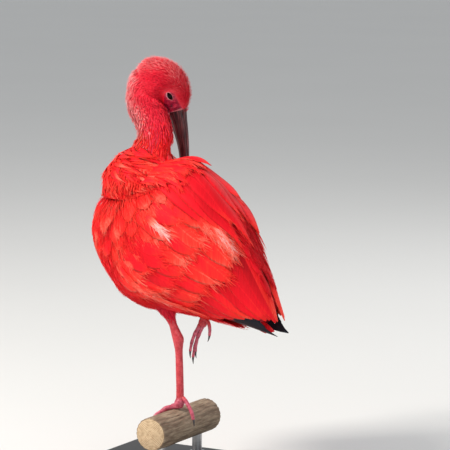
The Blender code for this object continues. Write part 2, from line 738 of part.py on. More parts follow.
def make_tail(surface, torso):
    """The tail: a short root and a closed fan of feathers between the wings."""
    rows = []
    for along, above, width, thick in TAIL_STEM:
        rows.append((*(np.array(WING_TIP) + ALONG * along + ABOVE * above), width, thick))
    tail = loft("tail", smooth_rows(rows, 6), TAIL_STEM_SIDES, surface, SIDEWAYS)
    feathers = []
    for place in np.linspace(-1.0, 1.0, TAIL_FEATHERS):
        share = VANE_SHARES[:, None]
        reach = (TAIL_TIP - TAIL_SHORTER * abs(place) - TAIL_ROOT) * share
        offset = place * (TAIL_SPREAD[0] + (TAIL_SPREAD[1] - TAIL_SPREAD[0]) * share)
        height = TAIL_RAISE - TAIL_DROP * abs(place) - TAIL_FALL * share
        centres = np.array(WING_TIP) + ALONG * (TAIL_ROOT + reach) + ABOVE * height + SIDEWAYS * offset
        edge = unit(SIDEWAYS - ABOVE * TAIL_TILT * place)
        widths = TAIL_WIDTH * VANE_WIDTHS[:, None]
        line = np.stack([centres - edge * widths, centres + edge * widths], axis=1)
        feathers.append(plate("vane", line + ABOVE * TAIL_HALF_THICK, line - ABOVE * TAIL_HALF_THICK, surface))
    fuse(tail, feathers, FEATHER_SOLVER)
    return clear_of(tail, torso, solver=FEATHER_SOLVER)


def make_neck(surface):
    """Both lengths of the neck, parted by a thin plane cut."""
    rows = smooth_rows(NECK_ROWS, NECK_RINGS)
    across = (math.cos(HEAD_FACING), math.sin(HEAD_FACING), 0.0)
    free = np.clip((rows[:, 2] - NECK_LEVEL[0]) / (NECK_LEVEL[1] - NECK_LEVEL[0]), 0.0, 1.0)[:, None]
    tangent = unit(np.gradient(rows[:, :3], axis=0)) * free + np.array((0.0, 0.0, 1.0)) * (1 - free)
    tangent = unit(tangent)
    ends = slice(None, NECK_SPLIT + 1), slice(NECK_SPLIT, None)
    lower = loft("neck_lower", rows[ends[0]], NECK_SIDES, surface, across, tangent[ends[0]])
    upper_rows = rows[ends[1]].copy()
    upper_rows[0, :3] += tangent[NECK_SPLIT] * GAP
    upper = loft("neck_upper", upper_rows, NECK_SIDES, surface, across, tangent[ends[1]])
    return lower, upper


HEAD_FORWARD = np.array((math.cos(HEAD_FACING), math.sin(HEAD_FACING), 0.0))
HEAD_NEAR = np.array((math.sin(HEAD_FACING), -math.cos(HEAD_FACING), 0.0))
HEAD_UP = np.array((0.0, 0.0, 1.0)) * math.cos(HEAD_LEAN) + HEAD_NEAR * math.sin(HEAD_LEAN)
HEAD_SIDE = np.cross(HEAD_FORWARD, HEAD_UP)


def head_place(forward, up, side=0.0):
    """A point given in the head's own frame, from the middle of the bill's base."""
    return (
        np.array(BILL_BASE)
        + HEAD_FORWARD * np.asarray(forward, float)[..., None]
        + HEAD_UP * np.asarray(up, float)[..., None]
        + HEAD_SIDE * np.asarray(side, float)[..., None]
    )


def make_ball(name, centre, radius, surface, rings=8, sides=12):
    rows = []
    for k in range(rings + 1):
        polar = math.pi * k / rings
        rows.append((*(centre - HEAD_SIDE * radius * math.cos(polar)), radius * math.sin(polar)))
    rows = np.array(rows)
    turn = np.linspace(0.0, 2 * math.pi, sides, endpoint=False)
    round_it = HEAD_FORWARD * np.cos(turn)[:, None] + HEAD_UP * np.sin(turn)[:, None]
    return close_rings(name, rows[:, None, :3] + rows[:, 3, None, None] * round_it[None], surface)


def make_lid(side, surface):
    """The ring of skin round an eye."""
    count, sides = LID_STEPS, LID_SIDES
    centre = head_place(*EYE_PLACE, side * (EYE_INSET + EYE_RADIUS * LID_OUT))
    long_axis = HEAD_FORWARD * math.cos(LID_TILT) + HEAD_UP * math.sin(LID_TILT)
    short_axis = HEAD_UP * math.cos(LID_TILT) - HEAD_FORWARD * math.sin(LID_TILT)
    points = []
    for i in range(count):
        turn = 2 * math.pi * i / count
        out = long_axis * LID_RADII[0] * math.cos(turn) + short_axis * LID_RADII[1] * math.sin(turn)
        for j in range(sides):
            roll = 2 * math.pi * j / sides
            section = unit(out) * math.cos(roll) + HEAD_SIDE * LID_DEEP * math.sin(roll)
            points.append(centre + out + section * LID_THICK)
    faces = []
    for i in range(count):
        for j in range(sides):
            a = i * sides + j
            b = i * sides + (j + 1) % sides
            c = (i + 1) % count * sides + (j + 1) % sides
            d = (i + 1) % count * sides + j
            faces.append((a, b, c))
            faces.append((a, c, d))
    return make_object("lid", points, faces, surface)


def make_head(surface, eye_surface):
    """The head with its eye sockets, lids and mouth line, and both eyes."""
    table = smooth_rows(HEAD_ROWS, HEAD_RINGS)
    rows = np.column_stack([head_place(table[:, 0], table[:, 1]), table[:, 3], table[:, 2]])
    head = loft("head", rows, HEAD_SIDES, surface, HEAD_SIDE)
    raw = uncut_copy(head)
    fuse(head, [make_lid(side, surface) for side in (-1.0, 1.0)])
    eyes = []
    for name, side in (("eye_right", 1.0), ("eye_left", -1.0)):
        centre = head_place(*EYE_PLACE, side * EYE_INSET)
        eyes.append(make_ball(name, centre, EYE_RADIUS, eye_surface))
    clear_of(head, *eyes)
    cut_mouth_line(head, surface)
    return head, raw


def bill_path(share):
    """Forward and up of the bill's middle line, which bends down towards its tip."""
    fine = np.linspace(0.0, 1.0, 200)
    heading = BILL_START - BILL_TURN * fine ** 2
    step = BILL_LENGTH * (fine[1] - fine[0])
    forward = np.concatenate(([0.0], np.cumsum(np.sin(heading[:-1]) * step)))
    up = -np.concatenate(([0.0], np.cumsum(np.cos(heading[:-1]) * step)))
    place = np.interp(share, fine, forward), np.interp(share, fine, up)
    return place[0], place[1], np.interp(share, fine, heading)


def make_groove(points, radii, surface):
    """A slim tapered tool for a groove or a slit."""
    rows = np.column_stack([np.asarray(points, float), radii, radii])
    return loft("groove", rows, 6, surface, HEAD_UP)


def side_of_head(forward, up, side):
    """The point of the head's surface at the given place seen from the side."""
    table = smooth_rows(HEAD_ROWS, 200)
    middle, deep, wide = (np.interp(up, table[:, 1], table[:, k]) for k in (0, 2, 3))
    level = np.clip((forward - middle) / deep, -0.99, 0.99)
    return head_place(forward, up, side * wide * math.sqrt(1 - level ** 2))


def cut_mouth_line(head, surface):
    """A shallow line on each side of the head, from the bill's corner to below the eye."""
    grooves = []
    for side in (-1.0, 1.0):
        points = [side_of_head(forward, up, side) for forward, up in MOUTH_LINE]
        grooves.append(make_groove(points, MOUTH_RADII, surface))
    cut_by_group(head, grooves)


def cut_nostrils(bill, surface):
    """A slit low on each side of the upper bill near its base."""
    forward, up, heading = bill_path(NOSTRIL_AT)
    depth = np.interp(NOSTRIL_AT, *np.array(BILL_DEPTHS).T)
    width = np.interp(NOSTRIL_AT, *np.array(BILL_WIDTHS).T) / 2
    rise = depth * UPPER_SHARE * math.sin(NOSTRIL_TURN) - depth * (UPPER_SHARE - 0.5)
    slits = []
    for side in (-1.0, 1.0):
        points = []
        for share in (-0.5, 0.0, 0.5):
            run = NOSTRIL_LENGTH * share
            ahead = forward + math.cos(heading) * rise + math.sin(heading) * run
            level = up + math.sin(heading) * rise - math.cos(heading) * run + BILL_ROOT
            points.append(head_place(ahead, level, side * width * math.cos(NOSTRIL_TURN)))
        slits.append(make_groove(points, (NOSTRIL_RADIUS * 0.5, NOSTRIL_RADIUS, NOSTRIL_RADIUS * 0.5), surface))
    cut_by_group(bill, slits)


def make_mandible(name, upper, surface, head):
    """Half of the bill: an arc over the flat of the mouth line."""
    share = np.linspace(0.0, 1.0, BILL_RINGS) ** 1.15
    forward, up, heading = bill_path(share)
    depth = np.interp(share, *np.array(BILL_DEPTHS).T)
    width = np.interp(share, *np.array(BILL_WIDTHS).T) / 2
    if not upper:
        width = width * BILL_LOWER_WIDTH
    mouth = depth * (UPPER_SHARE - 0.5)
    rise = depth * (UPPER_SHARE if upper else UPPER_SHARE - 1.0)
    if not upper:
        rise = rise - BILL_CHIN * np.clip(1.0 - share / BILL_CHIN_END, 0.0, 1.0)
    part_way = GAP / 2 if upper else -GAP / 2
    arc = np.linspace(0.0, math.pi, BILL_ARC)
    ring_rise = part_way - mouth[:, None] + rise[:, None] * np.sin(arc)[None] ** BILL_ROUND
    ring_side = width[:, None] * np.cos(arc)[None]
    # the culmen lies on the forward side of the path
    ahead = np.cos(heading)[:, None] * ring_rise
    rises = np.sin(heading)[:, None] * ring_rise
    rings = head_place(forward[:, None] + ahead, up[:, None] + rises + BILL_ROOT * (1 - share[:, None]), ring_side)
    return clear_of(close_rings(name, rings, surface), head)


def make_limb(name, rows, sides, count, surface):
    return loft(name, smooth_rows(rows, count), sides, surface, (1.0, 0.0, 0.0))


def branch_place(reach, along_y, above):
    """A point over the branch: `reach` runs round it from the top, forwards when positive."""
    radius = PERCH_RADIUS + GAP + above
    turn = np.asarray(reach, float) / (PERCH_RADIUS + TOE_RADIUS)
    x = PERCH_AXIS[0] - radius * np.sin(turn)
    z = PERCH_AXIS[1] + radius * np.cos(turn)
    return np.column_stack([x, np.broadcast_to(along_y, x.shape), z])


def toe_radii(share):
    """A toe thins to its tip and swells a little at each joint."""
    plain = TOE_RADIUS + (TOE_TIP_RADIUS - TOE_RADIUS) * share
    return plain * (1.0 + TOE_SWELL * np.cos(2 * math.pi * TOE_JOINTS * share))


def make_gripping_toe(name, splay, length, skin, claw_skin):
    """A toe bent round the branch, and its claw."""
    share = np.linspace(0.0, 1.0, TOE_RINGS)
    splay = math.radians(splay)
    reach = TOE_START + length * share * math.cos(splay)
    radii = toe_radii(share)
    centres = branch_place(reach, FOOT[1] + length * share * math.sin(splay), radii)
    toe = loft("toe_left_" + name, np.column_stack([centres, radii, radii]), TOE_SIDES, skin, (0.0, 1.0, 0.3))
    tail_share = np.linspace(0.0, 1.0, CLAW_RINGS)
    claw_run = (CLAW_LENGTH + SUNK) * tail_share - SUNK
    claw_reach = reach[-1] + claw_run * math.cos(splay)
    claw_y = FOOT[1] + (length + claw_run) * math.sin(splay)
    claw_radii = TOE_TIP_RADIUS * CLAW_ROOT * (1 - tail_share) ** CLAW_POINT
    above = radii[-1] + CLAW_ARCH * np.sin(math.pi * tail_share) - (radii[-1] - CLAW_END) * tail_share ** 1.5
    claw_rows = np.column_stack([branch_place(claw_reach, claw_y, above), claw_radii, claw_radii])
    claw = loft("claw_left_" + name, claw_rows, CLAW_SIDES, claw_skin, (0.0, 1.0, 0.3))
    return toe, clear_of(claw, toe)


def make_hanging_claw(name, toe, toe_rows, length, bend, surface):
    """A claw that goes on from the end of a toe and bends in X."""
    end = toe_rows[-1, :3]
    heading = unit(end - toe_rows[-2, :3])
    rows = []
    for share in np.linspace(0.0, 1.0, CLAW_RINGS):
        place = end + heading * ((length + SUNK) * share - SUNK) + np.array((bend, 0.0, 0.0)) * share ** 2
        radius = toe_rows[-1, 3] * CLAW_ROOT * (1 - share) ** CLAW_POINT
        rows.append((*place, radius, radius))
    return clear_of(loft(name, rows, CLAW_SIDES, surface, SIDEWAYS), toe)


def make_hallux(skin, claw_skin):
    """The hind toe, set a little higher on the back of the leg."""
    rows = smooth_rows(HALLUX_ROWS, 9)
    toe = loft("hallux_left", rows, TOE_SIDES, skin, SIDEWAYS)
    make_hanging_claw("claw_left_hallux", toe, rows, *STANDING_HALLUX_CLAW, claw_skin)
    return toe


def make_standing_leg(feather, leg_skin, toe_skin, claw_skin, torso, wings):
    hock = np.array(HOCK)
    top = np.array(THIGH_TOP)
    down = unit(hock - top)
    thigh_end = top + (hock - top) * THIGH_SHARE
    rows = [(*(top + down * run), first, second) for run, first, second in THIGH_STEPS]
    thigh = make_limb("thigh_left", [*rows, (*thigh_end, *THIGH_END)], 14, 8, feather)
    clear_of(thigh, torso)
    clear_of(thigh, *wings, distance=WING_CLEAR, solver=FEATHER_SOLVER)
    below_hock = (*(hock + HOCK_BELOW[:3]), *HOCK_BELOW[3:])
    rows = [
        (*(thigh_end - down * SUNK), *SHIN_TOP),
        (*(thigh_end + down * SHIN_WAIST[0]), *SHIN_WAIST[1:]),
        (*(hock - down * HOCK_ABOVE[0]), *HOCK_ABOVE[1:]),
        (*hock, *HOCK_HALF),
        below_hock,
    ]
    shin = make_limb("shin_left", rows, 12, 9, leg_skin)
    clear_of(shin, thigh)
    rows = [
        (*(hock + HOCK_BELOW[:3] + (0.0, 0.0, SUNK)), *HOCK_BELOW[3:]),
        (*(hock + TARSUS_TOP[:3]), *TARSUS_TOP[3:]),
        *TARSUS_ROWS,
    ]
    tarsus = make_limb("tarsus_left", rows, 12, 9, leg_skin)
    clear_of(tarsus, shin)
    pad = make_limb("foot_left", FOOT_ROWS, 14, 6, toe_skin)
    pad_raw = uncut_copy(pad)
    clear_of(pad, tarsus)
    toes = [make_gripping_toe(name, splay, length, toe_skin, claw_skin) for name, splay, length in FRONT_TOES]
    middle = toes[0][0]
    middle_raw = uncut_copy(middle)
    clear_of(middle, pad_raw)
    for toe, _ in toes[1:]:
        clear_of(toe, pad_raw, middle_raw)
    hallux = make_hallux(toe_skin, claw_skin)
    clear_of(hallux, pad_raw, tarsus)
    bpy.data.objects.remove(pad_raw)
    bpy.data.objects.remove(middle_raw)
    return pad, toes


def make_tucked_leg(leg_skin, toe_skin, claw_skin, torso, wings):
    """The raised leg: the end of its tarsus and its hanging toes show below the belly."""
    foot = np.array(TUCKED_FOOT)
    rows = [(*(foot + row[:3]), *row[3:]) for row in TUCKED_TARSUS]
    tarsus = make_limb("tarsus_right", rows, 12, 9, leg_skin)
    clear_of(tarsus, torso)
    clear_of(tarsus, *wings, distance=WING_CLEAR, solver=FEATHER_SOLVER)
    made = []
    for name, sideways, length in TUCKED_TOES:
        rows = []
        for share in np.linspace(0.0, 1.0, 8):
            place = foot + TUCKED_TARSUS[-1][:3] + (TOE_ROOTS[name], 0.0, SUNK) + (
                -length * TOE_FORWARD * share - TOE_BOW * math.sin(math.pi * share),
                sideways * (TOE_GATHERED + (1.0 - TOE_GATHERED) * share),
                -length * TOE_DOWN * share,
            )
            radius = float(toe_radii(share)) * TUCKED_TOE_SIZE
            rows.append((*place, radius, radius))
        toe = loft("toe_right_" + name, rows, TOE_SIDES, toe_skin, SIDEWAYS)
        rows = np.array(rows)
        make_hanging_claw("claw_right_" + name, toe, rows, *HANGING_CLAW, claw_skin)
        clear_of(toe, tarsus, *made)
        made.append(toe)
    hallux_rows = smooth_rows([(*(foot + row[:3]), *row[3:]) for row in TUCKED_HALLUX], 8)
    hallux = loft("hallux_right", hallux_rows, TOE_SIDES, toe_skin, SIDEWAYS)
    clear_of(hallux, tarsus, torso)
    clear_of(hallux, *wings, distance=WING_CLEAR, solver=FEATHER_SOLVER)
    make_hanging_claw("claw_right_hallux", hallux, hallux_rows, *TUCKED_HALLUX_CLAW, claw_skin)


def make_perch(surface):
    rows = []
    half = PERCH_LENGTH / 2
    for share in np.linspace(0.0, 1.0, PERCH_RINGS):
        y = -half + PERCH_LENGTH * share
        rows.append((PERCH_AXIS[0], y, PERCH_AXIS[1], PERCH_RADIUS, PERCH_RADIUS))
    return loft("perch", rows, PERCH_SIDES, surface, (0.0, 0.0, 1.0))


def make_stand(base_surface, rod_surface, perch):
    low = -FOOT_HEIGHT
    mesh = bpy.data.meshes.new("stand_base")
    work = bmesh.new()
    bmesh.ops.create_cube(work, size=1.0)
    bmesh.ops.scale(work, vec=Vector(BASE_SIZE) * MM, verts=work.verts)
    bmesh.ops.translate(work, vec=Vector((0.0, 0.0, BASE_SIZE[2] / 2 * MM)), verts=work.verts)
    upper = [e for e in work.edges if max(v.co.z for v in e.verts) > BASE_SIZE[2] * 0.6 * MM]
    bmesh.ops.bevel(work, geom=upper, offset=BASE_EDGE * MM, segments=3, profile=0.5, affect="EDGES")
    work.to_mesh(mesh)
    work.free()
    mesh.materials.append(base_surface)
    base = bpy.data.objects.new("stand_base", mesh)
    bpy.context.collection.objects.link(base)
    for name, side in (("stand_rod_front", -1.0), ("stand_rod_back", 1.0)):
        rows = []
        for height in (low + BASE_SIZE[2] + GAP, PERCH_AXIS[1] - PERCH_RADIUS * 0.5):
            rows.append((PERCH_AXIS[0], side * ROD_SPREAD, height, ROD_RADIUS, ROD_RADIUS))
        rod = loft(name, rows, 20, rod_surface, (1.0, 0.0, 0.0))
        clear_of(rod, perch)


def build_ibis():
    clear_scene()
    feather = finish("scarlet_feather", RED, 0.5)
    deep_feather = finish("deep_scarlet_feather", DEEP_RED, 0.5)
    neck_feather = finish("neck_feather", NECK_RED, 0.6)
    face = finish("head_feather", FACE_RED, 0.5)
    horn = finish("bill_horn", BILL_BROWN, 0.4)
    leg_skin = finish("leg_skin", LEG_RED, 0.45)
    toe_skin = finish("toe_skin", TOE_PINK, 0.45)
    claw = finish("claw_horn", CLAW_BLACK, 0.35)
    eye = finish("eye_dark", EYE_BLACK, 0.08)
    bark = finish("branch_bark", BARK_BROWN, 0.8)
    paint = finish("stand_paint", STAND_BLACK, 0.4)
    steel = finish("stand_steel", STEEL_GREY, 0.35, 1.0)

    perch = make_perch(bark)
    make_stand(paint, steel, perch)
    torso = make_torso(feather)
    neck_lower, neck_upper = make_neck(neck_feather)
    neck_raw = uncut_copy(neck_lower)
    head, head_raw = make_head(face, eye)
    clear_of(neck_upper, head_raw)
    clear_of(neck_lower, torso)
    bill = make_mandible("bill_upper", True, horn, head_raw)
    cut_nostrils(bill, horn)
    make_mandible("bill_lower", False, horn, head_raw)
    mantle = mantle_core(feather)
    mantle_raw = uncut_copy(mantle)
    fuse(mantle, mantle_feathers(feather), FEATHER_SOLVER)
    clear_of(mantle, torso, neck_raw, solver=FEATHER_SOLVER)
    chance = random.Random(SEED)
    wings = []
    for name, side in (("wing_left", -1.0), ("wing_right", 1.0)):
        wing = make_wing(name, side, feather, chance)
        clear_of(wing, torso, neck_raw, mantle_raw, solver=FEATHER_SOLVER)
        cut_by_group(wing, mantle_feathers(feather, GAP), FEATHER_SOLVER)
        wings.append(wing)
    make_tail(deep_feather, torso)
    make_standing_leg(deep_feather, leg_skin, toe_skin, claw, torso, wings)
    make_tucked_leg(leg_skin, toe_skin, claw, torso, wings)
    for spare in (neck_raw, head_raw, mantle_raw):
        bpy.data.objects.remove(spare)


build_ibis()
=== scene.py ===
import json
import math

import bpy
import numpy as np
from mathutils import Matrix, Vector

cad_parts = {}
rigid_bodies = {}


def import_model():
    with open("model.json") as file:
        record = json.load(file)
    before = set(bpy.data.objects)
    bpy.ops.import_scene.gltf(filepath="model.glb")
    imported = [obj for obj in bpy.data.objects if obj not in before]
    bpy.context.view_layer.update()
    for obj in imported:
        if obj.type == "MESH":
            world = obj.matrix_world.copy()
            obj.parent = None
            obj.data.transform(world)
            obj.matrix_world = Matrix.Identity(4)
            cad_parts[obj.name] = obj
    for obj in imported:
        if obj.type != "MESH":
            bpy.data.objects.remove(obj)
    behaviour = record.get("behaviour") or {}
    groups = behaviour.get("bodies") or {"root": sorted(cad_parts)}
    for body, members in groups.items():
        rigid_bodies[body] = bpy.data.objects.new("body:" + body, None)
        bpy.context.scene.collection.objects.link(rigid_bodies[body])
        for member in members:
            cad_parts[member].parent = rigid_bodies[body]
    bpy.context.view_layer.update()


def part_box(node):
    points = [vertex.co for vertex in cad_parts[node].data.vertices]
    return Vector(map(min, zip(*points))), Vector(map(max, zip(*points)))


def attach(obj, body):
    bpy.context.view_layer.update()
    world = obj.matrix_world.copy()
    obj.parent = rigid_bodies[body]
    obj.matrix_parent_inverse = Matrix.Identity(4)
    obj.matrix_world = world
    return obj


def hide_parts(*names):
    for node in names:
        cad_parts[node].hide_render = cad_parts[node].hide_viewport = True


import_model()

mm = 0.001
fullTurn = 2 * math.pi
chance = np.random.default_rng(11)

# Shapes are worked out in millimetres from the standing foot, the bird heading to -X with its left
# side at -Y, and are moved to the frame's metres when their mesh is made.
perchTop = -4.0
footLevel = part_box("perch")[1].z / mm - perchTop


# A vector divided by its own length.
def unit(vectors):
    vectors = np.asarray(vectors, float)
    return vectors / np.maximum(np.linalg.norm(vectors, axis=-1, keepdims=True), 1e-9)


# A step from 0 to 1 between two values with flat ends: 3x squared less 2x cubed.
def ease(value, low, high):
    x = np.clip((np.asarray(value, float) - low) / (high - low), 0, 1)
    return x * x * (3 - 2 * x)


# Even steps from 0 to 1.
def steps(count):
    return np.linspace(0, 1, count)


# Even turns round a circle, the last one short of the first.
def turns(count):
    return np.linspace(0, fullTurn, count, endpoint=False)


# A share of the way between two values.
def within(pair, share):
    return pair[0] + (pair[1] - pair[0]) * share


# Rows of numbers read at even steps from cubic Hermite pieces, their knots spaced by the root of the
# distance.
def smoothRows(rows, count):
    rows = np.asarray(rows, float)
    knots = np.concatenate(([0.0], np.cumsum(np.linalg.norm(np.diff(rows, axis=0), axis=1) ** 0.5)))
    slopes = np.gradient(rows, knots, axis=0)
    at = np.linspace(0, knots[-1], count)
    cell = np.clip(np.searchsorted(knots, at, side="right") - 1, 0, len(knots) - 2)
    width = (knots[cell + 1] - knots[cell])[:, None]
    s = (at - knots[cell])[:, None] / width
    ends = (1 + 2 * s) * (1 - s) ** 2 * rows[cell] + s ** 2 * (3 - 2 * s) * rows[cell + 1]
    turns = s * (1 - s) ** 2 * slopes[cell] + s ** 2 * (s - 1) * slopes[cell + 1]
    return ends + turns * width


# Surfaces. Each takes a place along (p) and round (q) and gives the point and the middle of its section.

coat = {
    "wingTip": (138.0, 0.0, 95.0),
    "slope": 28.5,  # degrees by which the body's axis falls towards the tail
    "dent": (-172.0, 26.0, 0.42, 0.45, 7.5),  # along, reach, angle round, its reach and depth
    "roof": 0.12,  # how much narrower than an oval the section is towards the back
    # along the axis, centre above it, half height, half width
    "rows": (
        (-288.0, 9.0, 0.5, 0.5),
        (-286.0, 9.0, 13.0, 11.0),
        (-276.0, 8.0, 33.0, 27.0),
        (-262.0, 10.0, 50.0, 41.0),
        (-242.0, 15.5, 69.5, 52.0),
        (-222.0, 20.0, 83.0, 59.0),
        (-200.0, 22.5, 92.5, 62.5),
        (-170.0, 24.0, 91.0, 63.5),
        (-138.0, 25.5, 77.5, 60.0),
        (-97.0, 25.0, 59.5, 50.0),
        (-55.0, 17.5, 37.5, 37.0),
        (-24.0, 9.5, 19.5, 26.0),
        (0.0, 3.0, 6.0, 19.0),
    ),
}
slope = math.radians(coat["slope"])
tipPoint = np.array(coat["wingTip"])
alongDir = np.array((math.cos(slope), 0.0, -math.sin(slope)))
aboveDir = np.array((math.sin(slope), 0.0, math.cos(slope)))
sideDir = np.array((0.0, 1.0, 0.0))
downDir = np.array((0.0, 0.0, -1.0))
coatTable = smoothRows(coat["rows"], 500)


# Centre, half height and half width of the body's section at a place along its axis.
def bodySection(along):
    return (np.interp(along, coatTable[:, 0], coatTable[:, k]) for k in (1, 2, 3))


# An oval section on the body's axis, its half width cut by the roof share times the cosine above the middle.
# q is 0 at the back and grows down the right side.
def bodySurface(p, q):
    centre, tall, wide = bodySection(p)
    dent = coat["dent"]
    apart = ((np.asarray(p) - dent[0]) / dent[1]) ** 2 + ((np.sin(q - dent[2]) / dent[3]) ** 2)
    sunk = dent[4] * np.exp(-apart) * (np.cos(q - dent[2]) > 0)
    tall, wide = tall - sunk, wide - sunk
    narrow = 1 - coat["roof"] * np.maximum(np.cos(q), 0)
    middle = tipPoint + alongDir * np.asarray(p)[..., None] + aboveDir * centre[..., None]
    above, aside = tall * np.cos(q), wide * narrow * np.sin(q)
    return middle + aboveDir * above[..., None] + sideDir * aside[..., None], middle


head = {
    "billBase": (-38.3, 54.0, 347.5),
    "facing": 22.0,  # degrees the head turns towards +Y from +X
    "lean": 11.0,  # degrees its crown leans to the near side
    # forward, up, half depth, half width
    "rows": (
        (0.0, 0.0, 11.5, 8.5),
        (0.8, 7.0, 13.6, 11.2),
        (-1.2, 17.5, 18.6, 15.0),
        (-7.5, 29.5, 23.8, 18.0),
        (-16.8, 40.0, 24.6, 19.5),
        (-28.2, 48.0, 19.6, 17.2),
        (-39.0, 52.0, 10.6, 9.6),
        (-43.5, 53.0, 0.0, 0.0),
    ),
    "flowCentre": (-23.0, 8.0),  # forward and up of the point that the lie of the plumes turns round
    "barePatch": ((-5.6, 22.0, 6.4), (-3.5, 1.0, 12.5)),  # eye end and bill end: forward, up, radius
}
facing = math.radians(head["facing"])
lean = math.radians(head["lean"])
headForward = np.array((math.cos(facing), math.sin(facing), 0.0))
headNear = np.array((math.sin(facing), -math.cos(facing), 0.0))
headUp = np.array((0.0, 0.0, math.cos(lean))) + headNear * math.sin(lean)
headSide = np.cross(headForward, headUp)
billBase = np.array(head["billBase"])


# A place of the head from its own axes, in mm from the bill's base.
def headPlace(forward, up, side=0.0):
    forward, up, side = np.broadcast_arrays(*(np.asarray(v, float) for v in (forward, up, side)))
    return billBase + headForward * forward[..., None] + headUp * up[..., None] + headSide * side[..., None]


# The same three numbers for points.
def headCoordinates(points):
    rel = points - billBase
    return rel @ headForward, rel @ headUp, rel @ headSide


# Rings along a path: centre, and the two half axes of each ring, all read between the rows of a table.
def ringSurface(centre, first, second):
    shares = steps(len(centre))
    table = np.concatenate([centre, first, second], axis=1)

    def surface(p, q):
        row = np.stack([np.interp(p, shares, table[:, k]) for k in range(9)], axis=-1)
        point = row[..., :3] + row[..., 3:6] * np.cos(q)[..., None] + row[..., 6:] * np.sin(q)[..., None]
        return point, row[..., :3]

    return surface


# The head: ovals square to a path from the bill's base over the crown.
def headAxes(count=400):
    table = smoothRows(head["rows"], count)
    centre = headPlace(table[:, 0], table[:, 1])
    tangent = unit(np.gradient(centre, axis=0))
    second = np.cross(tangent, headSide)
    return ringSurface(centre, headSide * table[:, 3:4], second * table[:, 2:3])


headSurface = headAxes()  # p runs from the bill's base (0) to the back of the crown (1)

neck = {
    # x, y, height, radius along the picture plane, radius across it, from the head down
    "rows": (
        (-66.0, 47.5, 390.0, 22.0, 18.0),
        (-73.0, 45.5, 378.0, 25.0, 20.5),
        (-75.0, 41.5, 364.0, 23.5, 21.0),
        (-70.5, 35.0, 352.0, 21.5, 20.5),
        (-61.0, 27.5, 342.0, 20.0, 20.0),
        (-50.5, 19.5, 331.5, 20.0, 20.0),
        (-44.5, 12.5, 320.0, 21.0, 21.0),
        (-47.0, 8.0, 309.0, 23.5, 23.0),
        (-53.0, 4.0, 298.0, 31.0, 29.0),
        (-54.0, 2.0, 286.0, 41.0, 37.0),
        (-51.0, 0.5, 272.0, 49.0, 43.0),
        (-50.0, 0.0, 250.0, 50.0, 43.5),
    ),
    "level": (312.0, 338.0),  # rings lie level below the first height and square to the neck above the second
}


# The neck: ovals square to its path, turning level where it widens into the shoulders.
def neckAxes(count=400):
    table = smoothRows(neck["rows"], count)
    centre = table[:, :3]
    free = ease(centre[:, 2], *neck["level"])[:, None]
    tangent = unit(unit(np.gradient(centre, axis=0)) * free + downDir * (1 - free))
    across = np.array((math.cos(facing), math.sin(facing), 0.0))
    first = unit(across - (tangent @ across)[:, None] * tangent)
    second = np.cross(tangent, first)
    return ringSurface(centre, first * table[:, 3:4], second * table[:, 4:5]), table


neckSurface, neckTable = neckAxes()  # p runs from the head (0) to the shoulders (1)
napeRise = 13.0


# The rounded top of the neck behind the head: a quarter of an oval from its pole (0) to the neck's first
# ring (1).
def napeSurface(p, q):
    rim, middle = neckSurface(np.zeros(np.broadcast(p, q).shape), q + 0 * p)
    crest = unit(neckTable[0, :3] - neckTable[8, :3]) * napeRise
    turn = np.asarray(p) * math.pi / 2
    return middle + (rim - middle) * np.sin(turn)[..., None] + crest * np.cos(turn)[..., None], middle


# for each surface the step in p for its rates, how far spines may run, and the stretch of p on the OFBake map
stepOf = {bodySurface: 0.5, headSurface: 0.002, neckSurface: 0.002, napeSurface: 0.01}
spanOf = {bodySurface: (-287.0, -1.0)}
mapOf = {bodySurface: (-288.0, 0.0)}


# The point, outward normal and the two rates in mm for each unit of p and of q, by central differences.
def measured(surface, p, q):
    stepP, stepQ = stepOf[surface], 0.004
    p, q = np.broadcast_arrays(np.asarray(p, float), np.asarray(q, float))
    point, middle = surface(p, q)
    alongIt = (surface(p + stepP, q)[0] - surface(p - stepP, q)[0]) / (2 * stepP)
    roundIt = (surface(p, q + stepQ)[0] - surface(p, q - stepQ)[0]) / (2 * stepQ)
    normal = unit(np.cross(alongIt, roundIt))
    normal *= np.where(np.sum(normal * (point - middle), axis=-1, keepdims=True) < 0, -1, 1)
    return point, normal, alongIt, roundIt


# The sizes of the two rates, kept clear of nought.
def ratesOf(surface, p, q):
    _, _, *rates = measured(surface, p, q)
    return (np.maximum(np.linalg.norm(rate, axis=-1), least) for rate, least in zip(rates, (1e-3, 4.0)))


# Meshes.


# The volume that faces enclose, as a sum of the tetrahedra from the origin to a fan on each face.
def enclosed(points, faces):
    total = 0.0
    for k in range(1, faces.shape[1] - 1):
        a, b, c = points[faces[:, 0]], points[faces[:, k]], points[faces[:, k + 1]]
        total += np.sum(a * np.cross(b, c)) / 6
    return total


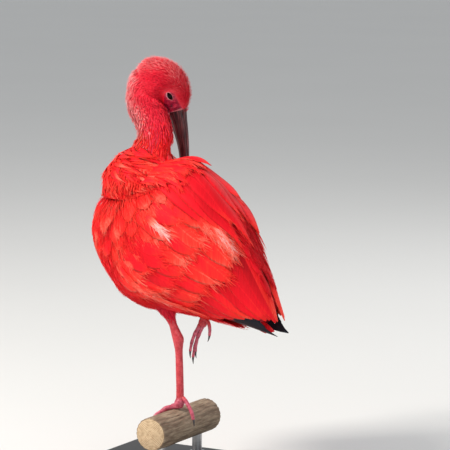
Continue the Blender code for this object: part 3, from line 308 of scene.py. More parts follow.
# A mesh from points in mm and blocks of faces, each block an array of equally sided faces. All blocks
# are turned over together if they enclose a negative volume.
def meshFrom(name, points, blocks, material, attributes=None, uv=None):
    if sum(enclosed(points - points.mean(axis=0), block) for block in blocks) < 0:
        blocks = [block[:, ::-1] for block in blocks]
    mesh = bpy.data.meshes.new(name)
    mesh.vertices.add(len(points))
    placed = (points + np.array((0, 0, footLevel))) * mm
    mesh.vertices.foreach_set("co", placed.astype(np.float32).ravel())
    loops = np.concatenate([block.ravel() for block in blocks]).astype(np.int32)
    sizes = np.concatenate([np.full(len(block), block.shape[1]) for block in blocks]).astype(np.int32)
    mesh.loops.add(len(loops))
    mesh.loops.foreach_set("vertex_index", loops)
    mesh.polygons.add(len(sizes))
    mesh.polygons.foreach_set("loop_start", np.concatenate(([0], np.cumsum(sizes)[:-1])).astype(np.int32))
    mesh.polygons.foreach_set("loop_total", sizes)
    mesh.update(calc_edges=True)
    mesh.polygons.foreach_set("use_smooth", np.ones(len(sizes), bool))
    for key, values in (attributes or {}).items():
        kind, field = ("FLOAT_VECTOR", "vector") if values.ndim == 2 else ("FLOAT", "value")
        mesh.attributes.new(key, kind, "POINT").data.foreach_set(field, values.astype(np.float32).ravel())
    if uv is not None:
        mesh.uv_layers.new(name="OFBake").data.foreach_set("uv", uv[loops].astype(np.float32).ravel())
    mesh.update()
    mesh.materials.append(material)
    piece = bpy.data.objects.new(name, mesh)
    bpy.context.scene.collection.objects.link(piece)
    return piece


# Faces of n tubes of rings: quads between rings and one flat face at each end.
def tubeFaces(tubes, rings, sides):
    start = np.arange(tubes)[:, None, None] * rings * sides
    ring = np.arange(rings - 1)[None, :, None] * sides
    side = np.arange(sides)[None, None, :]
    after = (side + 1) % sides
    a, b = start + ring + side, start + ring + after
    quads = np.stack([a, b, b + sides, a + sides], axis=-1).reshape(-1, 4)
    first = (start[:, 0] + side[0])[:, ::-1]
    last = start[:, 0] + (rings - 1) * sides + side[0]
    return [quads, np.concatenate([first, last])]


# One closed piece from rings of points.
def tube(name, rings, material, attributes=None):
    rings = np.asarray(rings, float)
    return meshFrom(name, rings.reshape(-1, 3), tubeFaces(1, *rings.shape[:2]), material, attributes)


# Finished pieces ride on the one body of the still model.
def settled(piece, slot, *nodes):
    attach(piece, "root")
    if nodes:
        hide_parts(*nodes)
    return piece


# Feathers.

# The root of one less an eased share to a power: full at first, then down to nought in a round end.
def closing(share, low, high, power):
    return np.sqrt(np.clip(1 - ease(share, low, high) ** power, 0, 1))


# Half width along a feather as shares of its greatest: rises from the root, then closes to its tip.
outlines = {
    "round": lambda s: (0.55 + 0.45 * ease(s, 0, 0.35)) * closing(s, 0.66, 1.02, 1.5),
    "blunt": lambda s: (0.6 + 0.4 * ease(s, 0, 0.3)) * closing(s, 0.8, 1.01, 1.3),
    "pointed": lambda s: (0.5 + 0.5 * ease(s, 0, 0.35)) * (1 - ease(s, 0.35, 1.06)) ** 0.7,
    "plume": lambda s: (0.5 + 0.5 * ease(s, 0, 0.3)) * (1 - s ** 1.7) ** 0.8,
}
# places across a vane, from edge to edge
soft = np.array((-1.0, 0.0, 1.0))
fair = np.array((-1.0, -0.5, 0.0, 0.5, 1.0))
fineAcross = np.array((-1.0, -0.72, -0.42, -0.12, 0.12, 0.42, 0.72, 1.0))
noiseApart = 57.0  # mm between the noise of one feather and the next
tuftPatch, vanePatch = 0.003, 0.02  # how wide a tuft and a broad vane are on the OFBake map


# One of these outlines, kept from closing fully.
def outline(shape, share, least=0.06):
    return np.maximum(outlines[shape](share), least)


# Each start run towards its end by every share.
def between(start, end, share):
    return start[:, None] + (end - start)[:, None] * share


# A batch of vanes from their middles, the way up and half their thickness: rings of points, and for each
# point its place on the vane, its place by the barbs in mm, tint, darkness and place on the OFBake map.
def packed(middle, up, rise, half, across, width, run, tint, dark, mapP, mapQ, patch=tuftPatch):
    top, low = (middle + up * level[..., None] for level in (rise + half, rise - half))
    points = np.concatenate([top, low[:, :, -2:0:-1]], axis=2)
    shape = points.shape[:3]
    beside = np.concatenate([across, across[-2:0:-1]]) + np.zeros(shape)
    share = steps(shape[1])[:, None] + np.zeros(shape)
    number = chance.uniform(0, 1, (shape[0], 1, 1)) + np.zeros(shape)
    aside = np.abs(beside) * width[..., None]
    u, v = (np.reshape(0.01 + 0.97 * place, (-1, 1, 1)) for place in (mapP, mapQ % 1))
    batch = {
        "points": points,
        "vane": np.stack([beside, share, number], axis=-1),
        "barb": np.stack([aside, run - 0.9 * aside, number * noiseApart], axis=-1),
        "uv": np.stack([u + share * patch, v + (beside + 1) / 2 * patch], axis=-1),
    }
    batch = {key: values.reshape(-1, values.shape[-1]) for key, values in batch.items()}
    for key, values in (("tint", tint), ("dark", dark)):
        batch[key] = ((values[..., None] if np.ndim(values) else values) + np.zeros(shape)).ravel()
    return {**batch, "shape": shape}


# How far along the OFBake map a place of a surface lies.
def mapShare(surface, p):
    start, end = mapOf[surface]
    return (p - start) / (end - start)


# One batch of feathers on a surface. p, q, lift and width are given for each feather and station, `across`
# holds the places across a vane from -1 to 1. A point lies on the surface at its own p and q, raised by lift,
# by camber times one less across squared, and by lap times across; the underside lies a thickness below it.
def featherBatch(surface, p, q, lift, width, across, thick, tint, camber=0.0, lap=0.0, dark=0.0,
                 lengths=None, patch=tuftPatch):
    scaleP, scaleQ = ratesOf(surface, p, q)
    runP, runQ = np.gradient(p, axis=1) * scaleP, np.gradient(q, axis=1) * scaleQ
    size = np.maximum(np.hypot(runP, runQ), 1e-9)
    offset = width[..., None] * across
    atP = p[..., None] - offset * (runQ / size / scaleP)[..., None]
    atQ = q[..., None] + offset * (runP / size / scaleQ)[..., None]
    spread = (width / np.maximum(width.max(axis=1, keepdims=True), 1e-6))[..., None]
    lap = np.reshape(lap, (-1, 1, 1)) * across
    rise = lift[..., None] + camber * (1 - across ** 2) * spread + lap * spread
    point, normal, _, _ = measured(surface, atP, atQ)
    body = thick * (1 - np.abs(across) ** 3)
    lengths = np.reshape(np.sum(size, axis=1) if lengths is None else lengths, (-1, 1, 1))
    run = steps(p.shape[1])[:, None] * lengths
    return packed(point, normal, rise, body / 2, across, width, run, tint, dark,
                  mapShare(surface, p[:, 0]), q[:, 0] / fullTurn + 0.5, patch)


# Several batches joined to one mesh.
def featherPiece(name, batches, material):
    blocks = []
    start = 0
    for batch in batches:
        faces = tubeFaces(*batch["shape"])
        if enclosed(batch["points"] - batch["points"].mean(axis=0), faces[0]) < 0:
            faces = [block[:, ::-1] for block in faces]
        blocks.extend(block + start for block in faces)
        start += len(batch["points"])
    whole = {key: np.concatenate([batch[key] for batch in batches])
             for key in ("points", "uv", "vane", "barb", "tint", "dark")}
    return meshFrom(name, whole.pop("points"), blocks, material, uv=whole.pop("uv"), attributes=whole)


# Spines of short feathers: from a root, a straight run in mm turned to a heading between +p and +q, which
# bends evenly by `bend` to its tip.
def spines(surface, rootP, rootQ, heading, length, stations, bend):
    share = steps(stations)
    scaleP, scaleQ = (rate[:, None] for rate in ratesOf(surface, rootP, rootQ))
    scaleP = np.maximum(scaleP, 0.45 * np.median(scaleP))
    turned = heading[:, None] + bend[:, None] * share / 2
    run = length[:, None] * share
    spineP = np.clip(rootP[:, None] + run * np.cos(turned) / scaleP, *spanOf[surface])
    return spineP, rootQ[:, None] + run * np.sin(turned) / scaleQ


# The heading of a wished direction in space, measured on the surface from +p towards +q.
def headingOf(surface, p, q, wish):
    ahead, beside = (unit(rate) for rate in measured(surface, p, q)[2:])
    return np.arctan2(np.sum(wish * beside, axis=-1), np.sum(wish * ahead, axis=-1))


# Staggered rows of roots over a span of p, `pace` mm apart along and round, each a little off its place.
def rootRows(surface, span, pace, sweep=(-math.pi, math.pi)):
    jitter, samples = 0.35, 60
    allP, allQ = [], []
    p, stagger = span[0], 0.0
    at = np.linspace(*sweep, samples)
    while p < span[1]:
        _, _, alongIt, roundIt = measured(surface, np.full(samples, p), at)
        rate = np.median(np.linalg.norm(alongIt, axis=-1))
        length = np.concatenate(([0], np.cumsum(np.linalg.norm(roundIt, axis=-1)[:-1] * np.diff(at))))
        count = int(length[-1] / pace[1])
        if count > 0:
            place = (np.arange(count) + stagger + 0.25) / count * length[-1]
            place = place + chance.uniform(-jitter, jitter, count) * pace[1]
            allQ.append(np.interp(place, length, at))
            allP.append(p + chance.uniform(-jitter, jitter, count) * pace[0] / rate)
        p += pace[0] / rate
        stagger = 0.5 - stagger
    return np.concatenate(allP), np.concatenate(allQ)


# Where a surface can be grown on: point, normal, the lie of the coat and how fast the surface bends away
# along the lie and across it (one over the radius, in mm). The lie is a wished direction laid on the surface.
def rootFrames(surface, p, q, wish, turned):
    point, normal, alongIt, roundIt = measured(surface, p, q)
    lie = unit(wish - normal * np.sum(wish * normal, axis=-1, keepdims=True))
    beside = np.cross(normal, lie)
    lie = lie * np.cos(turned)[:, None] + beside * np.sin(turned)[:, None]
    beside = np.cross(normal, lie)
    step = 4.5
    frames = {"point": point, "normal": normal, "lie": lie, "beside": beside}
    for key, direction in (("bend", lie), ("roll", beside)):
        dp = step * np.sum(direction * alongIt, axis=-1) / np.maximum(np.sum(alongIt ** 2, axis=-1), 1e-6)
        dq = step * np.sum(direction * roundIt, axis=-1) / np.maximum(np.sum(roundIt ** 2, axis=-1), 16.0)
        ahead = surface(p + dp, q + dq)[0] + surface(p - dp, q - dq)[0] - 2 * point
        frames[key] = np.clip(-np.sum(ahead * normal, axis=-1) / step ** 2, -0.03, 0.11)
    return frames


# The rows to keep of a table of arrays.
def picked(frames, keep):
    return {key: values[keep] for key, values in frames.items()}


# Fine plumes: pace along and round between roots, length, half width and rise in mm (on the head as shares of
# the full ones), depth of the root, power of the rise, spread of tint and sway, thickness and camber.
plumeKinds = {
    "barbs": {"pace": (3.2, 2.5), "length": (9.0, 18.0), "half": (0.3, 0.55), "rise": (1.2, 2.6), "sunk": 0.2,
              "power": 0.7, "vary": 0.04, "sway": 0.008, "thick": 0.2, "camber": 0.1, "stations": 5},
    "neck": {"pace": (2.3, 1.7), "length": (8.5, 13.5), "half": (0.7, 1.2), "rise": (0.7, 1.6), "sunk": 1.2,
             "power": 1.1, "vary": 0.035, "sway": 0.02, "thick": 0.22, "camber": 0.1, "stations": 5},
    "head": {"pace": (1.4, 1.1), "length": (0.8, 1.2), "half": (0.8, 1.2), "rise": (0.6, 1.5), "sunk": 1.8,
             "power": 1.3, "vary": 0.04, "sway": 0.03, "thick": 0.16, "camber": 0.1, "stations": 4,
             "fullLength": (2.4, 6.2), "fullHalf": (0.38, 0.66)},
    "thigh": {"pace": (2.4, 2.0), "length": (7, 13), "half": (0.9, 1.6), "rise": (0.3, 1.4), "sunk": 1.6,
              "power": 1.3, "vary": 0.05, "sway": 0.02, "thick": 0.25, "camber": 0.0, "stations": 5},
}


# Draws what each plume needs: its length, half width and rise times grow, broad and stand, its tint, which
# changes by tip towards its end, and its sway. Its root moves out along the normal.
def drawn(kind, frames, tint, tip, out=0.0, grow=1, broad=1, stand=1):
    count = len(frames["p"])
    frames["point"] = frames["point"] + frames["normal"] * np.reshape(out, (-1, 1))
    frames["length"] = chance.uniform(*kind["length"], count) * grow
    frames["width"] = chance.uniform(*kind["half"], count) * broad
    rise = chance.uniform(*kind["rise"], count) * stand
    frames["lift"] = risen(kind["sunk"], rise, kind["stations"], kind["power"])
    frames["tint"] = (tint + chance.normal(0, kind["vary"], count))[:, None] + tip
    frames["sway"] = chance.normal(0, kind["sway"], count)
    return frames


# Plumes that each bend with the surface under them: along the lie a circle of the surface's own radius,
# raised by lift; across it u times the half width, falling away by half of roll times that distance squared.
def tuftBatch(kind, frames):
    lift = frames["lift"]
    share = steps(lift.shape[1])
    run = frames["length"][:, None] * share
    bend = np.where(np.abs(frames["bend"]) < 1e-4, 1e-4, frames["bend"])[:, None]
    turn = bend * run
    point, normal, lie, beside = (frames[key][:, None] for key in ("point", "normal", "lie", "beside"))
    spine = (point + lie * (np.sin(turn) / bend)[..., None] - normal * ((1 - np.cos(turn)) / bend)[..., None]
             + beside * (frames["sway"][:, None] * run * share)[..., None])
    up = (normal * np.cos(turn)[..., None] + lie * np.sin(turn)[..., None])[:, :, None]
    half = frames["width"][:, None] * outline("plume", share, 0.04)
    offset = half[..., None] * soft
    fall = 0.5 * frames["roll"][:, None, None] * offset ** 2
    rise = lift[..., None] + kind["camber"] * half[..., None] * (1 - soft ** 2) - fall
    body = kind["thick"] * (1 - np.abs(soft) ** 3) * (1 - 0.5 * share)[:, None]
    return packed(spine[:, :, None] + beside[:, None] * offset[..., None], up, rise, body / 2, soft, half,
                  run[..., None], frames["tint"], 0.0, frames["p"], frames["q"] / fullTurn + 0.5)


# Heights along a tuft: sunk at its root, then rising to its tip as share to a power.
def risen(sunk, tip, stations, power):
    return -sunk + (tip[:, None] + sunk) * steps(stations) ** power


# How far inside a ring surface's neighbours a point is: under 1 is inside.
def insideHead(points, over=0.0):
    forward, up, side = headCoordinates(points)
    table = smoothRows(head["rows"], 300)
    middle, deep, wide = (np.interp(up, table[:, 1], table[:, k]) for k in (0, 2, 3))
    beyond = np.maximum(np.maximum(-2 - up, up - 53), 0)
    return np.sqrt(((forward - middle) / (deep + over)) ** 2 + (side / (wide + over)) ** 2) + beyond


# How far out points are of the neck, as a share of its half width; 1 is on its surface.
def insideNeck(points):
    rows = neckTable[::8]
    flat = points.reshape(-1, 3)
    nearest = np.argmin(np.linalg.norm(flat[:, None] - rows[None, :, :3], axis=-1), axis=1)
    shares = nearest / (len(rows) - 1)
    first, middle = neckSurface(shares, np.zeros(len(flat)))
    second, _ = neckSurface(shares, np.full(len(flat), fullTurn / 4))
    rel = flat - middle
    ratio = np.hypot(*(np.sum(rel * unit(axis - middle), axis=-1) / np.linalg.norm(axis - middle, axis=-1)
                       for axis in (first, second)))
    beyond = (nearest == 0) * np.maximum(rel @ unit(rows[0, :3] - rows[1, :3]), 0) / 3
    below = np.maximum(neckTable[-1, 2] - flat[:, 2], 0) / 6
    return (ratio + beyond + below).reshape(points.shape[:-1])


# The same for the body, with its narrower back.
def insideBody(points):
    rel = points - tipPoint
    along, beside = rel @ alongDir, rel @ sideDir
    centre, tall, wide = bodySection(along)
    above = rel @ aboveDir - centre
    q = np.arctan2(beside / wide, above / tall)
    narrow = 1 - coat["roof"] * np.maximum(np.cos(q), 0)
    beyond = np.maximum(np.maximum(-288 - along, along), 0)
    return np.sqrt((above / tall) ** 2 + (beside / (wide * narrow)) ** 2) + beyond


# The neck's surface where it stands clear of the body, else straight out from the body's axis to its surface.
def capeSurface(p, q):
    point, middle = neckSurface(p, q)
    along = (point - tipPoint) @ alongDir
    centre, _, _ = bodySection(along)
    axis = tipPoint + alongDir * along[..., None] + aboveDir * centre[..., None]
    reach = np.clip(insideBody(point), 0.05, 1)
    return axis + (point - axis) / reach[..., None], middle


stepOf[capeSurface], spanOf[capeSurface], mapOf[capeSurface] = 0.002, (0.3, 1.0), (0.0, 1.0)


# The bare skin of the face: how far in mm a place of the head is outside a capsule from the eye to the bill.
def outsideBare(points):
    forward, up, _ = headCoordinates(points)
    (fromForward, fromUp, fromRadius), (toForward, toUp, toRadius) = head["barePatch"]
    run = np.array((toForward - fromForward, toUp - fromUp))
    share = ((forward - fromForward) * run[0] + (up - fromUp) * run[1]) / (run @ run)
    share = np.clip(share, 0, 1)
    away = np.hypot(forward - fromForward - run[0] * share, up - fromUp - run[1] * share)
    return away - (fromRadius + (toRadius - fromRadius) * share)


# Materials.


# A material with its shader's sockets set by name, an underscore standing for a space.
def surfaceOf(name, roughness, **sockets):
    made = bpy.data.materials.new(name)
    made.use_nodes = True
    shader = made.node_tree.nodes["Principled BSDF"]
    for key, value in {"Roughness": roughness, **sockets}.items():
        shader.inputs[key.replace("_", " ")].default_value = value
    return made, made.node_tree, shader


# A node with its settings, and its inputs by name or number: a socket is linked, anything else is set.
def add(tree, kind, inputs=None, **settings):
    made = tree.nodes.new("ShaderNode" + kind)
    for key, value in settings.items():
        setattr(made, key, value)
    for key, value in (inputs or {}).items():
        if isinstance(value, bpy.types.NodeSocket):
            tree.links.new(value, made.inputs[key])
        else:
            made.inputs[key].default_value = value
    return made


# An attribute of the piece, as a number or a vector.
def attribute(tree, name, output="Fac"):
    return add(tree, "Attribute", attribute_name=name).outputs[output]


# The place in the object's own coordinates.
def objectPlace(tree):
    return add(tree, "TexCoord").outputs["Object"]


# The three parts of a vector.
def split(tree, vector):
    return add(tree, "SeparateXYZ", {0: vector}).outputs


# The result of one sum on numbers or sockets.
def maths(tree, operation, first, second=0.0, third=0.0, clamp=False):
    return add(tree, "Math", {0: first, 1: second, 2: third}, operation=operation, use_clamp=clamp).outputs[0]


# First times its share plus second times its own.
def mixed(tree, first, share, second, other):
    return maths(tree, "MULTIPLY_ADD", first, share, maths(tree, "MULTIPLY", second, other))


# A value moved by how far a noise is from its middle.
def stirred(tree, value, grain, amount, clamp=False):
    return maths(tree, "MULTIPLY_ADD", maths(tree, "SUBTRACT", grain, 0.5), amount, value, clamp)


# One less a value times a factor, not below nought.
def fading(tree, value, factor):
    return maths(tree, "SUBTRACT", 1.0, maths(tree, "MULTIPLY", value, factor), clamp=True)


# The first colour going over into the second with the share.
def blended(tree, share, first, second):
    return add(tree, "Mix", {0: share, 6: first, 7: second}, data_type="RGBA").outputs[2]


# A colour ramp with its stops in the order given.
def ramp(tree, share, stops):
    made = add(tree, "ValToRGB", {0: share})
    elements = made.color_ramp.elements
    while len(elements) < len(stops):
        elements.new(0.5)
    for element, (place, colour) in zip(elements, stops):
        element.position = place
        element.color = (*colour, 1)
    return made.outputs[0]


# Noise on a vector stretched by three factors.
def noise(tree, vector, stretch, detail=3.0, roughness=0.5):
    stretched = add(tree, "Mapping", {"Vector": vector, "Scale": stretch}).outputs[0]
    return add(tree, "TexNoise", {"Vector": stretched, "Scale": 1.0, "Detail": detail,
                                  "Roughness": roughness}).outputs["Fac"]


# The shader's colour and a bump of a height, its distance in mm.
def dressed(tree, shader, colour, height=None, distance=0.0, strength=1.0):
    tree.links.new(colour, shader.inputs["Base Color"])
    if height is not None:
        made = add(tree, "Bump", {"Height": height, "Distance": distance * mm, "Strength": strength})
        tree.links.new(made.outputs[0], shader.inputs["Normal"])


# Noise in object space through a ramp, with a bump of the same noise.
def grainMaterial(name, roughness, stretch, detail, stops, distance, strength, **sockets):
    made, tree, shader = surfaceOf(name, roughness, **sockets)
    grain = noise(tree, objectPlace(tree), stretch, detail)
    dressed(tree, shader, ramp(tree, grain, stops), grain, distance, strength)
    return made


feathers = {
    "colours": (
        (0.0, (0.2, 0.0, 0.006)),
        (0.3, (0.55, 0.0, 0.006)),
        (0.5, (0.84, 0.003, 0.014)),
        (0.66, (0.96, 0.03, 0.018)),
        (0.82, (1.0, 0.19, 0.13)),
        (1.0, (1.0, 0.68, 0.66)),
    ),
    "headColours": (
        (0.0, (0.17, 0.0, 0.01)),
        (0.3, (0.5, 0.001, 0.016)),
        (0.5, (0.82, 0.008, 0.038)),
        (0.66, (0.92, 0.045, 0.075)),
        (0.82, (0.97, 0.24, 0.25)),
        (1.0, (0.98, 0.62, 0.64)),
    ),
    "black": (0.012, 0.013, 0.02),
    "streaks": 0.16,
    "roughness": 0.6,
}


# Red by the piece's own tint, with fine streaks along each barb, a paler shaft, edges paler by a painted
# highlight, and black tips.
def featherMaterial(name, streaks, shaft, edge, colours="colours"):
    made, tree, shader = surfaceOf(name, feathers["roughness"], Sheen_Weight=0.12, Sheen_Roughness=0.4,
                                   Sheen_Tint=(1.0, 0.3, 0.22, 1), Specular_IOR_Level=0.16)
    barb = attribute(tree, "barb", "Vector")
    aside = maths(tree, "ABSOLUTE", split(tree, attribute(tree, "vane", "Vector"))[0])
    fine = noise(tree, barb, (0.12, 2.4, 1.0), roughness=0.65)
    broad = noise(tree, barb, (0.05, 0.5, 1.0), detail=1.0)
    streaks = feathers["streaks"] * streaks
    tint = stirred(tree, attribute(tree, "tint"), fine, 1.3 * streaks)
    tint = stirred(tree, tint, broad, streaks)
    # paler towards the vane's edges: a painted highlight
    tint = maths(tree, "MULTIPLY_ADD", maths(tree, "POWER", aside, 6.0), edge, tint)
    tint = maths(tree, "MULTIPLY_ADD", fading(tree, aside, 11.0), shaft, tint)
    dark = stirred(tree, attribute(tree, "dark"), fine, 0.5, clamp=True)
    dark = add(tree, "MapRange", {0: dark, 1: 0.35, 2: 0.65}).outputs[0]
    colour = blended(tree, dark, ramp(tree, tint, feathers[colours]), (*feathers["black"], 1))
    dressed(tree, shader, colour, fine, 0.25, 0.5)
    return made


softFeather = featherMaterial("soft_feather", streaks=0.8, shaft=0.0, edge=0.06)
vaneFeather = featherMaterial("vane_feather", streaks=1.1, shaft=0.08, edge=0.12)
plumeFeather = featherMaterial("plume_feather", streaks=0.7, shaft=0.0, edge=0.05, colours="headColours")
print("scene: materials of the coat")

# Wings. Places are measured along the body's axis from the wing tips, angles in degrees from the back.
# Each row runs from its upper feather to its lower one: count, roots and tips along, their angles, half
# width, heights at root and tip, depth of the root, where the black starts, stray and lap, and a paler tint.
wingRows = {
    "primaries": dict(count=6, root=(-136, -136, -136), tip=(-32, -15, -2), rootAngle=(112, 150),
                      tipAngle=(80, 128), half=8.2, low=-4.6, high=-4.0, sunk=4.0, shape="blunt",
                      black=(0.82, 0.56), stray=1.0, lap=1.0, pale=0.0),
    "secondaries": dict(count=10, root=(-146, -142, -136), tip=(-10, -26, -78), rootAngle=(17, 144),
                        tipAngle=(24, 156), half=12.5, low=-2.6, high=-1.4, sunk=5.5, shape="round",
                        stray=2.0, lap=1.1, pale=0.0),
    "greater": dict(count=8, root=(-178, -184, -176), tip=(-82, -80, -120), rootAngle=(41, 134),
                    tipAngle=(40, 148), half=15.5, low=-2.0, high=0.5, sunk=5.5, shape="round",
                    stray=7.0, lap=1.0, pale=0.05),
    "medianLow": dict(count=8, root=(-206, -209, -200), tip=(-126, -122, -148), rootAngle=(48, 124),
                      tipAngle=(48, 136), half=14.5, low=-1.6, high=0.9, sunk=5.0, shape="round",
                      stray=7.0, lap=0.9, pale=0.05),
    "medianHigh": dict(count=8, root=(-230, -234, -226), tip=(-156, -150, -172), rootAngle=(53, 118),
                       tipAngle=(52, 130), half=13.0, low=-1.3, high=1.2, sunk=5.0, shape="round",
                       stray=7.0, lap=0.8, pale=0.05),
}
# painted highlights on the lobes of both wings: along, angle, reach along, reach round in degrees, how pale
highlightMarks = (
    (-116.0, 43.0, 26.0, 6.0, 0.14),
    (-148.0, 127.0, 14.0, 6.0, 0.16),
    (-152.0, 62.0, 26.0, 9.0, 0.08),
    (-112.0, 72.0, 20.0, 12.0, 0.08),
    (-250.0, 69.0, 14.0, 14.0, 0.12),
    (-208.0, 60.0, 16.0, 9.0, 0.08),
    (-106.0, 82.0, 14.0, 7.0, 0.05),
)
# painted shade in the hollows between the lobes of the coverts, the same way
shadeMarks = (
    (-190.0, 82.0, 9.0, 9.0, 0.1),
    (-175.0, 105.0, 20.0, 9.0, 0.15),
    (-151.0, 117.0, 16.0, 6.0, 0.12),
    (-124.0, 66.0, 11.0, 6.0, 0.1),
    (-90.0, 36.0, 40.0, 8.0, 0.12),
)
# single pale feathers on both wings: root and tip along, root and tip angle, half width, tint at the tip
paleFeathers = (
    (-204, -163, 72.0, 76.0, 4.6, 0.9),
    (-150, -104, 38.0, 40.5, 7.0, 0.8),
    (-146, -96, 41.0, 44.0, 7.5, 0.86),
    (-142, -88, 46.0, 47.0, 7.5, 0.76),
    (-152, -116, 46.0, 51.0, 6.5, 0.72),
    (-176, -144, 124.0, 128.0, 4.0, 0.7),
    (-214, -130, 116.0, 139.0, 4.4, 0.76),
    (-190, -96, 127.0, 141.0, 4.2, 0.72),
    (-164, -84, 134.0, 141.0, 4.0, 0.68),
)


# Painted highlight and shade on the wings: each mark adds its strength times a bell of the distance in its
# own reaches.
def wingLightAndShade(p, q):
    angle = np.degrees(np.abs(q))
    total = 0.0
    for marks, sign in ((highlightMarks, 1), (shadeMarks, -1)):
        for along, turn, reach, spread, strength in marks:
            bell = np.exp(-((p - along) / reach) ** 2 - ((angle - turn) / spread) ** 2)
            total = total + sign * strength * bell
    return total


# Values at even steps read at a share.
def alongRow(values, place):
    return np.interp(place, steps(len(values)), values)


# Loose barbs at the ends of vanes: short plumes that start on a vane's face and run on at a slight splay.
def fringeBatch(p, q, lift, width, tint, perVane, length, half, reach=(0.5, 0.98), splay=0.35,
                surface=bodySurface):
    count, stations = p.shape
    vane = np.repeat(np.arange(count), perVane)
    at = chance.uniform(*reach, len(vane)) * (stations - 1)
    low = np.minimum(at.astype(int), stations - 2)
    part = at - low

    def read(values):
        return values[vane, low] * (1 - part) + values[vane, low + 1] * part

    scaleP, scaleQ = ratesOf(surface, read(p), read(q))
    runP, runQ = (values[vane, low + 1] - values[vane, low] for values in (p, q))
    heading = np.arctan2(runQ * scaleQ, runP * scaleP)
    u = chance.uniform(-0.95, 0.95, len(vane))
    offset = u * read(width)
    rootP = read(p) - offset * np.sin(heading) / scaleP
    rootQ = read(q) + offset * np.cos(heading) / scaleQ
    heading = heading + u * splay + chance.normal(0, 0.08, len(vane))
    runs = chance.uniform(*length, len(vane))
    share = steps(5)
    bow = chance.normal(0, 0.12, len(vane))
    spineP, spineQ = spines(surface, rootP, rootQ, heading, runs, len(share), bow)
    raised = read(lift) + 0.5 * (1 - u ** 2) + 0.1
    height = raised[:, None] + (chance.uniform(-0.2, 0.5, len(vane)))[:, None] * share
    wide = chance.uniform(*half, len(vane))[:, None] * outline("plume", share, 0.1)
    shade = read(tint)[:, None] + chance.uniform(-0.04, 0.09, (len(vane), 1)) * np.ones(5)
    return featherBatch(surface, spineP, spineQ, height, wide, soft, 0.2, shade, lengths=runs)


# Broad vanes on the body; hairs gives count, length, half width, reach and splay of the loose barbs on each.
def broadVanes(p, q, lift, width, thick, tint, hairs=None, **more):
    batches = [featherBatch(bodySurface, p, q, lift, width, fineAcross, thick, tint, patch=vanePatch, **more)]
    if hairs:
        batches.append(fringeBatch(p, q, lift, width, tint, *hairs))
    return batches


covertHairs = (110, (8.0, 18.0), (0.35, 0.8), (0.3, 0.98), 0.5)
paleHairs = (60, (5.0, 15.0), (0.22, 0.42), (0.3, 0.98))
capeHairs = (26, (5.0, 12.0), (0.3, 0.6), (0.5, 0.98), 0.25)
scapularHairs = (40, (6.0, 14.0), (0.3, 0.6), (0.5, 0.98), 0.2)


# Rows of feathers fanned between their upper and lower angles, each bowed and strayed a little, and the
# single pale ones over them.
def wingBatches(side):
    batches = []
    for row in wingRows.values():
        count = row["count"]
        place = steps(count)
        covert = row["stray"] > 3
        share = steps(14 if covert else 16)
        tip = alongRow(row["tip"], place) + chance.uniform(-1, 1, count) * row["stray"]
        loose = 2.6 if covert else 1.0
        fromAngle = alongRow(row["rootAngle"], place) + chance.uniform(-0.5, 0.5, count) * loose
        toAngle = alongRow(row["tipAngle"], place) + chance.uniform(-1, 1, count) * loose
        root = alongRow(row["root"], place)
        p = between(root, tip, share)
        bow = chance.uniform(-0.5, 2.2, (count, 1)) * loose * np.sin(math.pi * share)
        q = side * np.radians(between(fromAngle, toAngle, share) + bow)
        rise = within((row["low"], row["high"]), ease(share, 0.05, 0.95))
        lift = rise + chance.uniform(-0.3, 0.3, (count, 1)) - row["sunk"] * (1 - ease(share, 0, 0.16))
        width = row["half"] * chance.uniform(0.88, 1.1, (count, 1)) * outlines[row["shape"]](share)
        base = 0.5 + row["pale"] + chance.uniform(-0.1, 0.09, (count, 1))
        # Painted shade darkens each vane towards its covered root and a painted highlight pales its tip; the
        # marks add painted highlight and shade.
        tint = base - 0.16 * (1 - share) + 0.1 * ease(share, 0.6, 1.0) + wingLightAndShade(p, q)
        black = alongRow(row.get("black", (2, 2)), place)[:, None]
        batches += broadVanes(p, q, lift, np.maximum(width, 0.5), 0.6, tint, covertHairs if covert else None,
                              camber=0.8, lap=side * row["lap"], dark=ease(share, black - 0.04, black + 0.04),
                              lengths=tip - root)
    root, tip, fromAngle, toAngle, half, pale = np.array(paleFeathers, float).T
    share = steps(12)
    p = between(root, tip, share)
    q = side * np.radians(between(fromAngle, toAngle, share))
    lift = 3.1 - 5 * (1 - ease(share, 0, 0.25)) + 0.3 * share + 0 * p
    width = half[:, None] * outline("pointed", share, 0.08)
    tint = 0.5 + (pale[:, None] - 0.5) * ease(share, 0.1, 0.6)
    return batches + broadVanes(p, q, lift, width, 0.4, tint, paleHairs, camber=0.4)


# Vanes that follow a surface from their roots along a wished direction, with loose barbs at their ends.
vaneKinds = {
    "shoulder": {"pace": (15.0, 11.0), "length": (34.0, 48.0), "half": (7.5, 10.5), "rise": (0.9, 1.9),
                 "shape": "round", "lit": 0.13, "hairs": 36, "hairLength": (5.0, 13.0), "vary": 0.06},
    "breast": {"pace": (12.0, 7.0), "length": (32.0, 46.0), "half": (4.0, 5.6), "rise": (0.5, 1.3),
               "shape": "round", "lit": 0.05, "hairs": 10, "hairLength": (7.0, 15.0), "vary": 0.04},
    "cape": {"pace": (10.0, 6.6), "length": (28.0, 44.0), "half": (3.6, 5.6), "rise": (1.8, 4.2),
             "shape": "pointed", "lit": 0.2, "hairs": 9, "hairLength": (6.0, 14.0), "vary": 0.07},
}


